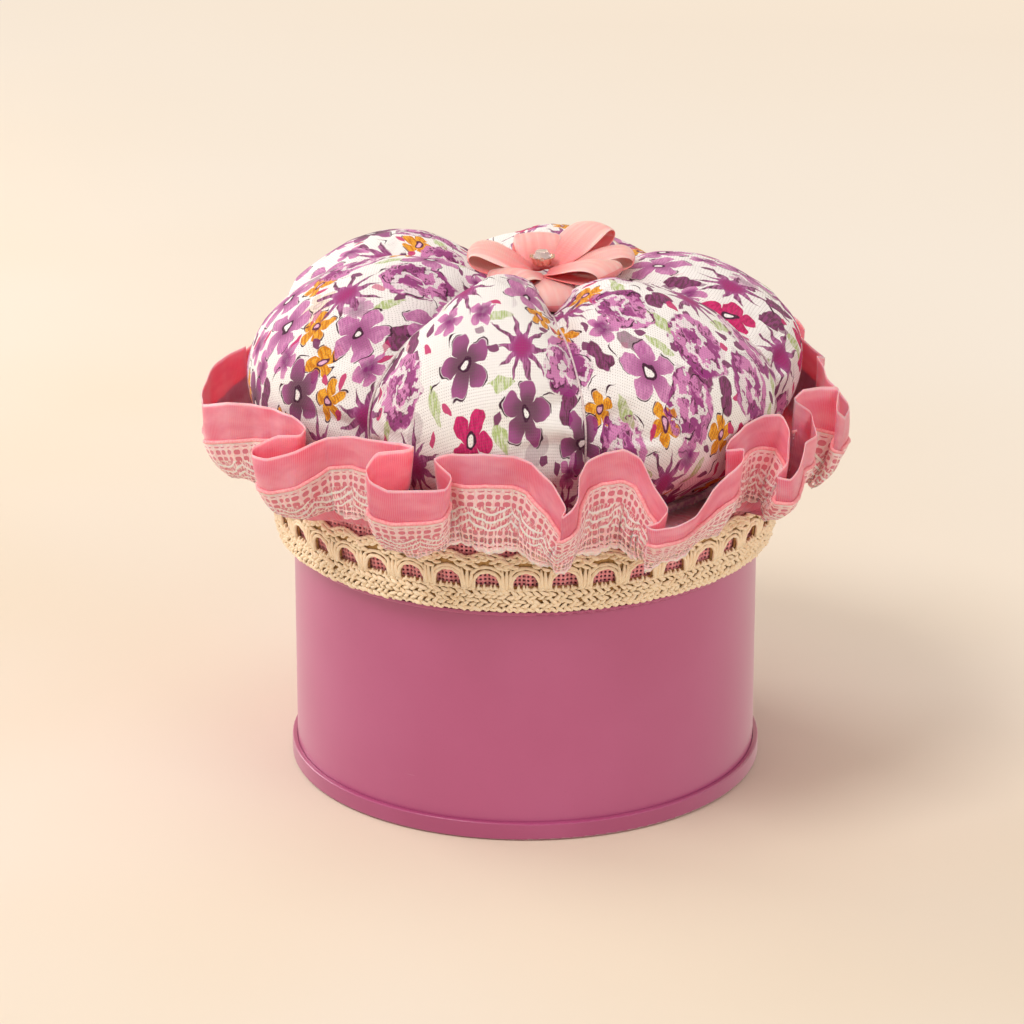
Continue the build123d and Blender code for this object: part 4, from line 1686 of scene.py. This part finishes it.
    def satin(self) -> None:
        """The ribbed satin, from its top edge to the gather and in over the lid."""
        shares = np.linspace(0, 1, self.satin_rows)
        points, gather, length = self.surface(shares)
        columns = points.shape[1]
        along = np.arange(columns) / columns * length
        pleat = np.sin(2 * math.pi * np.arange(columns) / columns * round(length / self.pleat))
        inner = [ring_place(gather, radius + 0.1 * pleat, z + 0.38 * pleat) for radius, z in self.heading]
        depth = self.gather_radius - np.array([radius for radius, _ in self.heading])
        cloth = flat_places(along, np.concatenate((shares * self.width, self.width + depth)))
        satin = Satin().material("ribbon_satin", self.width)
        points = np.concatenate((points, inner))
        made = make_sheet("ruffle_ribbon", points, cloth, satin, self.satin_thickness)
        fit(made, Slot.PINK_SATIN, "ruffle_satin")
        length * MM

    def lace(self) -> None:
        """The lace over the satin's lower part, whose free edge hangs out over the trim."""
        levels = self.lace_from / self.width + np.array(self.lace_levels)
        points, gather, length = self.surface(levels)
        top = self.line()[0]
        outward = np.cross(np.gradient(points, axis=0), np.gradient(points, axis=1))
        outward /= np.maximum(np.linalg.norm(outward, axis=2, keepdims=True), 1e-9)
        points = points + outward * np.array(self.lace_stand)[:, None, None]
        columns = points.shape[1]
        share = np.arange(columns) / columns
        scallop = np.abs(np.sin(math.pi * share * round(length / self.scallop)))
        reach = top[:, 1] - self.gather_radius
        flutter = np.sin(2 * math.pi * share * round(length / self.flutter))
        radius = self.gather_radius + 0.8 + 0.47 * reach + 0.4 * scallop + 0.4 * flutter
        azimuth = gather * 0.55 + top[:, 0] * 0.45
        height = np.interp(azimuth % 360, *np.array(self.hem, float).T)
        height = height + 0.5 * np.roll(flutter, 5) - 0.3 * scallop
        height = height + 1.2 - 0.24 * reach
        places = (*points, ring_place(azimuth, radius, height))
        rows = []
        for q in np.linspace(0, 1, self.lace_rows):
            weights = [math.comb(4, order) * q**order * (1 - q) ** (4 - order) for order in range(5)]
            rows.append(sum(weight * place for weight, place in zip(weights, places)))
        width = self.lace_width
        cloth = flat_places(share * length, np.linspace(0, width, self.lace_rows))
        lace = Lace().material("strip_lace", width)
        made = make_sheet("ruffle_lace_strip", np.stack(rows), cloth, lace, self.lace_thickness)
        fit(made, Slot.PINK_LACE, "ruffle_lace")
        flat = (width * MM, self.lace_take_up * length * MM)

    def piping(self) -> None:
        """The raised line where the lace is sewn to the satin."""
        points, _, _ = self.surface(np.array([self.lace_from / self.width - 0.005]))
        row = points[0]
        outward = np.cross(np.roll(row, -1, 0) - np.roll(row, 1, 0), (0.0, 0.0, 1.0))
        outward /= np.linalg.norm(outward, axis=1, keepdims=True)
        bag = Bag()
        bag.tube(row + outward * 0.35, self.piping_radius, closed=True)
        thread = PlainCloth("f9b4b6", "f48f9a", grain=2.4, depth=0.08).material("piping_thread")
        made = bag.build("ruffle_piping", thread)
        fit(made, Slot.PINK_LACE)

    def thread(self) -> None:
        """The twisted thread that draws the strip in."""
        turns = np.linspace(0, 360, 721)[:-1]
        radius, height = self.thread_place
        bag = Bag()
        for strand in range(2):
            phase = np.radians(turns * self.thread_turns + 180 * strand)
            path = ring_place(turns, radius + 0.16 * np.cos(phase), height + 0.16 * np.sin(phase))
            bag.tube(path, self.thread_radius, closed=True)
        thread = PlainCloth("f3a6b0", "dc7f90", grain=3.0, depth=0.05).material("pink_thread")
        made = bag.build("gather_thread", thread)
        fit(made, Slot.SEWING_THREAD, "gathering_thread")

    def build(self) -> None:
        """Builds the strip's four pieces."""
        self.satin()
        self.lace()
        self.piping()
        self.thread()


@dataclass
class Trim:
    """Crochet band round the lid's skirt, with an arched window in each repeat."""

    repeats: int = 42
    bottom_radius: float = 45.35
    bottom: float = 45.2
    lean: float = 10.95
    sill: float = 5.0
    window_width: float = 4.5
    window_height: float = 3.1
    top: float = 12.0
    scallop: float = 1.1
    inside: float = -0.25
    backing_thickness: float = 0.4
    loops: int = 5
    lower_rows: tuple[float, ...] = (0.5, 1.35, 2.2, 3.05, 3.85)
    upper_rows: tuple[float, ...] = (0.55, 1.3, 2.05)

    @property
    def pitch(self) -> float:
        """Width of a repeat at mid height."""
        return 2 * math.pi * (self.bottom_radius + 1.1) / self.repeats

    def place(self, u: np.ndarray, v: np.ndarray, w: np.ndarray) -> np.ndarray:
        """Points from along, up and out of the band's face.

        Args:
            u: Along the band.
            v: Up the band.
            w: Out of its face.

        Returns:
            The points.
        """
        lean = math.radians(self.lean)
        azimuth = u / self.pitch * (360 / self.repeats)
        radius = self.bottom_radius + v * math.sin(lean) + w * math.cos(lean)
        height = self.bottom + v * math.cos(lean) - w * math.sin(lean)
        return ring_place(azimuth, radius, height)

    def leaf(self, bag: Bag, start: Spot, end: Spot, fat: float, out: float) -> None:
        """A strand that swells in the middle, from one place on the band to another.

        Args:
            bag: Where the yarn goes.
            start: Where it starts, along and up.
            end: Where it ends.
            fat: Radius at its middle.
            out: How far its ends stand out of the face.
        """
        share = np.linspace(0, 1, 7)
        u = start[0] + (end[0] - start[0]) * share
        v = start[1] + (end[1] - start[1]) * share
        bulge = np.sin(share * math.pi)
        path = self.place(u, v, out + 0.34 * bulge)
        bag.tube(path, fat * (0.5 + 0.5 * bulge))

    def window(self, grow: float, count: int = 17) -> tuple[np.ndarray, np.ndarray]:
        """The arch round a window, grown outwards, as places along and up.

        Args:
            grow: How far it is grown.
            count: Number of places.

        Returns:
            Both, one to a place.
        """
        turn = np.linspace(0, math.pi, count)
        half = self.window_width / 2 + grow
        u = -np.cos(turn) * half
        v = self.sill - 0.15 + np.sin(turn) ** 0.75 * (self.window_height + grow + 0.15)
        return u, v

    def top_at(self, u: float) -> float:
        """Height of the scalloped top over a place in the repeat."""
        return self.top - self.scallop * (1 - abs(math.cos(math.pi * u / self.pitch)) ** 1.5)

    def build(self) -> None:
        """Builds the band's backing and its yarn."""
        self.backing()
        self.stitches()

    def backing(self) -> None:
        """The close inner layer, with the windows open, in dark tan: painted shade between the strands."""
        bag = Bag()
        half, corner = self.pitch / 2, 7
        arch_u, arch_v = self.window(0.1, 25)
        us = np.linspace(-half, half, len(arch_u))
        sill = self.sill - 0.1
        top_u = np.linspace(-half, half, len(arch_u) - 2 * corner)
        tops = [self.top_at(u) - 0.35 for u in top_u]
        outer_u = np.concatenate((np.full(corner, -half), top_u, np.full(corner, half)))
        left, right = (np.linspace(sill, end * 0.9, corner) for end in (tops[0], tops[-1]))
        outer_v = np.concatenate((left, tops, right[::-1]))
        for repeat in range(self.repeats):
            centre = repeat * self.pitch
            below = np.stack([self.place(centre + us, v, self.inside) for v in (0.15, 2.5, sill)])
            arch = self.place(centre + arch_u, arch_v, self.inside)
            ring = np.stack((arch, self.place(centre + outer_u, outer_v, self.inside)))
            for strip in (below, ring):
                bag.add(strip.reshape(-1, 3), grid_faces(*strip.shape[:2]))
        # The backing's dark tan is painted shade seen between the strands of yarn.
        cotton = PlainCloth("c79d63", "a87c45", grain=1.6, depth=0.15).material("deep_cotton")
        made = bag.build("trim_backing", cotton)
        add_modifier(made, "SOLIDIFY", thickness=self.backing_thickness * MM, offset=0.0)
        fit(made, Slot.CROCHET_COTTON)

    def strand(self, bag: Bag, chance: random.Random, u: float, v: float, turn: float) -> None:
        """One uneven strand, crossing a place at an angle in degrees from the band's run.

        Args:
            bag: Where the yarn goes.
            chance: Source of unevenness.
            u: Place along the band.
            v: Place up the band.
            turn: The strand's angle.
        """
        angle = math.radians(turn + chance.uniform(-16, 16))
        half = chance.uniform(0.75, 1.05)
        u, v = u + chance.uniform(-0.18, 0.18), v + chance.uniform(-0.12, 0.12)
        begin = (u - half * math.cos(angle), v - half * math.sin(angle))
        finish = (u + half * math.cos(angle), v + half * math.sin(angle))
        self.leaf(bag, begin, finish, chance.uniform(0.32, 0.44), chance.uniform(-0.02, 0.3))

    def knit(self, bag: Bag, chance: random.Random, centre: float) -> None:
        """The close rows below and above the window of one repeat.

        Args:
            bag: Where the yarn goes.
            chance: Source of unevenness.
            centre: Middle of the repeat along the band.
        """
        width = self.pitch / self.loops
        for row, v in enumerate(self.lower_rows):
            for index in range(self.loops):
                u = (index + 0.5 * (row % 2) - self.loops / 2) * width
                self.strand(bag, chance, centre + u, v, 32 if row % 2 else -28)
        for row, drop in enumerate(self.upper_rows):
            for index in range(self.loops):
                u = (index + 0.5 * (row % 2) - self.loops / 2) * width
                rise = self.top_at(u) - drop
                if row < 2 or abs(u) > 1.3:
                    self.strand(bag, chance, centre + u, rise, 24 if row % 2 else -20)

    def borders(self, bag: Bag) -> None:
        """The two lumpy cords that run right round, at the bottom and at the sill.

        Args:
            bag: Where the yarn goes.
        """
        total = self.pitch * self.repeats
        u = np.linspace(0, total, self.repeats * 32, endpoint=False)
        lobe = 2 * math.pi * u / (self.pitch / self.loops)
        uneven = np.sin(2 * math.pi * u / total * 37) * 0.1
        v, w = 0.28 + 0.22 * np.sin(lobe) + uneven, 0.12 + 0.25 * np.cos(lobe)
        bag.tube(self.place(u, v, w), 0.34, closed=True)
        v, w = 4.5 + 0.2 * np.sin(lobe + 1) + uneven, 0.2 + 0.2 * np.cos(lobe)
        bag.tube(self.place(u, v, w), 0.32, closed=True)

    def window_yarn(self, bag: Bag, chance: random.Random, centre: float) -> None:
        """The yarn round one window: short stitches on its sill and two arches over it.

        Args:
            bag: Where the yarn goes.
            chance: Source of unevenness.
            centre: Middle of the repeat along the band.
        """
        for index in range(4):
            u = (index - 1.5) + chance.uniform(-0.25, 0.25)
            rise = chance.uniform(0.1, 0.5)
            self.leaf(bag, (centre + u, self.sill - 0.7), (centre + u * 0.9, self.sill + rise), 0.26, 0.05)
        arch_u, arch_v = self.window(0.3 + chance.uniform(-0.12, 0.12))
        lump = 0.34 + 0.06 * np.sin(np.arange(len(arch_u)) * 1.9 + chance.uniform(0, 6))
        bag.tube(self.place(centre + arch_u, arch_v + chance.uniform(-0.1, 0.1), 0.42), lump)
        arch_u, arch_v = self.window(0.95 + chance.uniform(-0.1, 0.1))
        bag.tube(self.place(centre + arch_u, arch_v, 0.22), lump * 0.95)

    def post(self, bag: Bag, chance: random.Random, centre: float) -> None:
        """The three leaning stitches between two windows.

        Args:
            bag: Where the yarn goes.
            chance: Source of unevenness.
            centre: Middle of the post along the band.
        """
        for side in (-0.55, 0.0, 0.55):
            lean = chance.uniform(-0.2, 0.2)
            foot = (centre + side + lean, self.sill - 0.6)
            self.leaf(bag, foot, (centre + side * 1.5 - lean, self.sill + 3.6), 0.38, 0.15)

    def stitches(self) -> None:
        """All the yarn of the band."""
        chance = random.Random(3)
        bag = Bag()
        half = self.pitch / 2
        self.borders(bag)
        us = np.linspace(-half, half, 17)
        crown = np.array([self.top_at(u) for u in us])
        for repeat in range(self.repeats):
            centre = repeat * self.pitch + chance.uniform(-0.14, 0.14)
            self.knit(bag, chance, centre)
            self.window_yarn(bag, chance, centre)
            self.post(bag, chance, centre + half)
            wave = 0.12 * np.sin(us * 7 + chance.uniform(0, 3))
            for drop in (0.05, 0.95):
                bag.tube(self.place(centre + us, crown - drop + wave, 0.12), 0.33)
        made = bag.build("trim_stitches", Yarn().material("trim_yarn"))
        fit(made, Slot.CROCHET_COTTON, "crochet_trim")


@dataclass
class Footing:
    """Pink lace behind the trim, seen through its windows."""

    bottom: float = 47.6
    top: float = 58.2
    columns: int = 1260
    rows: int = 12
    trim_bottom: float = 45.2
    trim_radius: float = 44.05
    trim_lean: float = 2.4 / 12.4
    gap: float = 0.55
    length: float = 300.0
    thickness: float = 0.2

    def build(self) -> None:
        """Builds the puckered strip."""
        azimuth = np.linspace(0, 360, self.columns, endpoint=False)
        heights = np.linspace(self.bottom, self.top, self.rows)
        trim = self.trim_radius + (heights - self.trim_bottom) * self.trim_lean
        pucker = 0.16 * np.sin(np.radians(azimuth) * 97) + 0.1 * np.sin(np.radians(azimuth) * 61 + 1)
        points = ring_place(azimuth[None, :], trim[:, None] + self.gap + pucker[None, :], heights[:, None])
        cloth = flat_places(azimuth / 360 * self.length, heights - self.bottom + 0.8)
        net = FootingNet().material("footing_net")
        made = make_sheet("footing_strip", points, cloth, net, self.thickness)
        fit(made, Slot.PINK_LACE, "lace_footing")


@dataclass
class Petal:
    """One loop of ribbon: out along its lower layer, round the tip and back above it."""

    direction: float
    length: float
    width: float
    tilt: float
    lift: float
    puff: float = 1.9
    rows: int = 49
    columns: int = 15

    def points(self, centre: float, base: float) -> tuple[np.ndarray, np.ndarray]:
        """The ribbon's middle face.

        Args:
            centre: How far the flower stands to the right of the middle.
            base: Height of the loops' roots.

        Returns:
            Row-by-column points and their cloth places along and across the ribbon.
        """
        share = np.linspace(0.02, 0.98, self.rows)[:, None]
        across = np.linspace(-1, 1, self.columns)[None, :]
        out = np.sin(math.pi * share) ** 0.8
        upper = (share > 0.5) * 1.0
        spread = 0.42 + 0.58 * np.sin(np.minimum(1.0, out * 1.25) * math.pi / 2) ** 1.1
        spread = spread * (1 - 0.16 * out**7)
        y = across * self.width / 2 * spread
        rolled = -self.puff * np.sin(2 * math.pi * share) * (0.75 + 0.25 * np.cos(across * 1.5))
        arch = (0.9 * upper + 0.25 * (1 - upper)) * np.sin(math.pi * np.minimum(1.0, out)) * across**2
        pleat = 0.4 * np.sin(across * 5.0 + self.direction) * (1 - out) ** 1.5
        wave = 0.35 * np.sin(out * 5 + self.direction * 0.3) * across
        x = 0.2 + (self.length + 0.8) * out * (1 - 0.04 * across**2)
        z = rolled - arch * 0.9 + pleat + wave * out
        tilt = math.radians(self.tilt)
        along = x * math.cos(tilt) - z * math.sin(tilt)
        up = x * math.sin(tilt) + z * math.cos(tilt) - 1.2 * out**3
        turn = math.radians(self.direction)
        right = centre + along * math.cos(turn) - y * math.sin(turn)
        back = along * math.sin(turn) + y * math.cos(turn)
        world = np.stack((right, back, base + self.lift + up), axis=-1)
        cloth = np.stack((share * 2 * self.length + 0 * y, y, out + upper * 10 + 0 * y), axis=-1)
        return world, cloth


@dataclass
class Flower:
    """Seven ribbon loops round a set stone, on a felt disc over the dimple."""

    base: float = 92.6
    centre: float = 3.0
    ribbon: float = 10.5
    thickness: float = 0.25
    loops: tuple[tuple[float, float, float, float, float], ...] = (
        (-79.0, 13.8, 9.6, 1.0, 0.0), (-36.0, 15.2, 9.4, 14.0, 1.0), (5.0, 16.6, 9.0, 17.0, 0.0),
        (43.0, 15.6, 10.0, 25.0, 0.8), (98.0, 9.5, 9.4, 38.0, 0.3), (174.0, 13.4, 11.0, 20.0, 0.8),
        (226.0, 9.8, 10.0, 10.0, 0.5),
    )

    def petals(self) -> None:
        """Builds the loops."""
        material = PetalSatin().material("petal_satin")
        for number, (direction, length, width, tilt, lift) in enumerate(self.loops, 1):
            petal = Petal(direction, length, width, tilt, lift)
            points, cloth = petal.points(self.centre, self.base)
            made = make_sheet(f"petal_{number}", points, cloth, material, self.thickness, closed=False)
            add_modifier(made, "SUBSURF", levels=1, render_levels=1)
            fit(made, Slot.FLOWER_SATIN, f"flower_petal_{number}")

    def build(self) -> None:
        """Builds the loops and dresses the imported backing, cup and stone."""
        dress("flower_backing", PlainCloth("e98f98", "d97783", grain=2.0, depth=0.15).material("felt"))
        dress("stud_cup", BrightMetal().material("cup_metal"))
        dress("stud_stone", CutGlass().material("stone_glass"))
        self.petals()


@dataclass(frozen=True)
class Lamp:
    """A square soft lamp that faces the object, placed and sized in millimetres."""

    name: str
    place: tuple[float, float, float]
    size: float
    power: float
    tint: str = "fffcf8"

    def hang(self, aim: Vector) -> None:
        """Puts the lamp in the scene, turned to a place in metres.

        Args:
            aim: Where it looks.
        """
        data = bpy.data.lights.new(self.name, "AREA")
        assign(data, shape="SQUARE", size=self.size * MM, energy=self.power, color=paint(self.tint)[:3])
        made = bpy.data.objects.new(self.name, data)
        made.location = Vector(self.place) * MM
        made.rotation_euler = (aim - made.location).to_track_quat("-Z", "Y").to_euler()
        made.visible_camera = False
        bpy.context.scene.collection.objects.link(made)


@dataclass
class Studio:
    """Plain cream floor and backdrop, soft lamps, and the camera."""

    cream: str = "e5dacd"
    deep_cream: str = "e3d5c2"
    backdrop: str = "f9ebda"
    warm_backdrop: str = "f7e2c9"
    sky: str = "fff6ec"
    sky_strength: float = 0.5
    mirrored_strength: float = 0.8
    profile: tuple[Spot, ...] = (
        (-1500, 0), (-600, 0), (600, 0), (900, 12), (1100, 60), (1250, 180), (1330, 400), (1350, 1600),
    )
    half_width: float = 1500.0
    lit: tuple[float, float, float] = (0.0, 0.0, 45.0)
    lamps: tuple[Lamp, ...] = (
        Lamp("key", (-760, -620, 1460), size=640, power=14.0),
        Lamp("fill", (1140, -960, 660), size=1000, power=6.0),
        Lamp("top", (60, 160, 1500), size=860, power=3.0),
        Lamp("side", (-640, 420, 260), size=460, power=3.4),
    )
    distance: float = 850.0
    elevation: float = 20.66
    aim: Spot = (-2.5, 46.8)
    focal: float = 160.6

    def build(self) -> None:
        """Makes the floor, the lamps, the world and the camera."""
        self.floor()
        for lamp in self.lamps:
            lamp.hang(Vector(self.lit) * MM)
        self.world()
        self.camera()

    def floor(self) -> None:
        """One sheet that runs back and turns up behind the object."""
        across = np.linspace(-self.half_width, self.half_width, 13)
        points = np.array([(x, y, z) for y, z in self.profile for x in across], float)
        graph = Graph("cream_cloth", roughness=0.95, specular_ior_level=0.1)
        at = graph.place()
        soft = graph.noise(at, 0.006, 2.0)
        graph.set("Base Color", graph.over(soft.above(0.3, 0.7), self.cream, self.deep_cream))
        self.lift(graph, at)
        made = make_mesh("floor", points, grid_faces(len(self.profile), len(across)), graph.material)
        made.location.z = -0.2 * MM

    def lift(self, graph: Graph, at: Signal) -> None:
        """Keeps the floor pale behind the object and far off on every side, and makes it glow in glossy
        rays as a painted reflection.

        Args:
            graph: The floor's graph.
            at: Place on the floor in millimetres.
        """
        rays = graph.put("ShaderNodeLightPath")
        seen = Signal(graph, rays.outputs["Is Camera Ray"])
        mirrored = Signal(graph, rays.outputs["Is Glossy Ray"])
        x, y, _ = graph.split(at)
        far = (y + x * 1.1).above(70.0, 420.0) * 0.85
        round_about = (x * x + y * y).power(0.5).above(350.0, 600.0)
        glow = graph.put("ShaderNodeEmission")
        warmer = (y + x * 0.3).above(300.0, 900.0)
        tone = graph.over(warmer, self.backdrop, self.warm_backdrop)
        graph.feed(glow.inputs["Color"], tone)
        blend = graph.put("ShaderNodeMixShader")
        # In glossy rays the floor glows by mirrored_strength: a painted reflection of the floor in shiny
        # surfaces.
        share = seen * far.most(round_about) + mirrored * self.mirrored_strength
        graph.feed(blend.inputs[0], share.least(1.0))
        graph.tree.links.new(graph.shader.outputs[0], blend.inputs[1])
        graph.tree.links.new(glow.outputs[0], blend.inputs[2])
        graph.tree.links.new(blend.outputs[0], graph.tree.nodes["Material Output"].inputs["Surface"])

    def world(self) -> None:
        """Even light from all round, with the backdrop's colour where the camera sees past the floor."""
        world = bpy.data.worlds.new("studio")
        world.use_nodes = True
        nodes, links = world.node_tree.nodes, world.node_tree.links
        background = nodes["Background"]
        background.inputs["Color"].default_value = paint(self.sky)
        rays = nodes.new("ShaderNodeLightPath")
        strength = nodes.new("ShaderNodeMapRange")
        strength.inputs["To Min"].default_value = self.sky_strength
        strength.inputs["To Max"].default_value = self.mirrored_strength
        links.new(rays.outputs["Is Glossy Ray"], strength.inputs["Value"])
        links.new(strength.outputs[0], background.inputs["Strength"])
        seen = nodes.new("ShaderNodeBackground")
        seen.inputs["Color"].default_value = paint(self.backdrop)
        blend = nodes.new("ShaderNodeMixShader")
        links.new(rays.outputs["Is Camera Ray"], blend.inputs[0])
        links.new(background.outputs[0], blend.inputs[1])
        links.new(seen.outputs[0], blend.inputs[2])
        links.new(blend.outputs[0], nodes["World Output"].inputs["Surface"])
        bpy.context.scene.world = world

    def camera(self) -> None:
        """The camera at the photograph's angle."""
        lean = math.radians(self.elevation)
        data = bpy.data.cameras.new("camera")
        data.lens = self.focal
        data.sensor_width = 36.0
        data.clip_start, data.clip_end = 0.05, 10.0
        made = bpy.data.objects.new("camera", data)
        place = (self.aim[0], -self.distance * math.cos(lean), self.aim[1] + self.distance * math.sin(lean))
        made.location = Vector(place) * MM
        made.rotation_euler = (math.pi / 2 - lean, 0, 0)
        bpy.context.scene.collection.objects.link(made)
        bpy.context.scene.camera = made
        bpy.context.scene.view_settings.view_transform = "Standard"


def main() -> None:
    """Builds the pieces in order."""
    logging.basicConfig(level=logging.INFO, format="%(message)s")
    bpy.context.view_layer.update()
    for part in (Tin(), Lid(), Cushion(), Ruffle(), Trim(), Footing(), Flower(), Studio()):
        log.info("building %s", type(part).__name__)
        part.build()


if __name__ == "__main__":
    main()
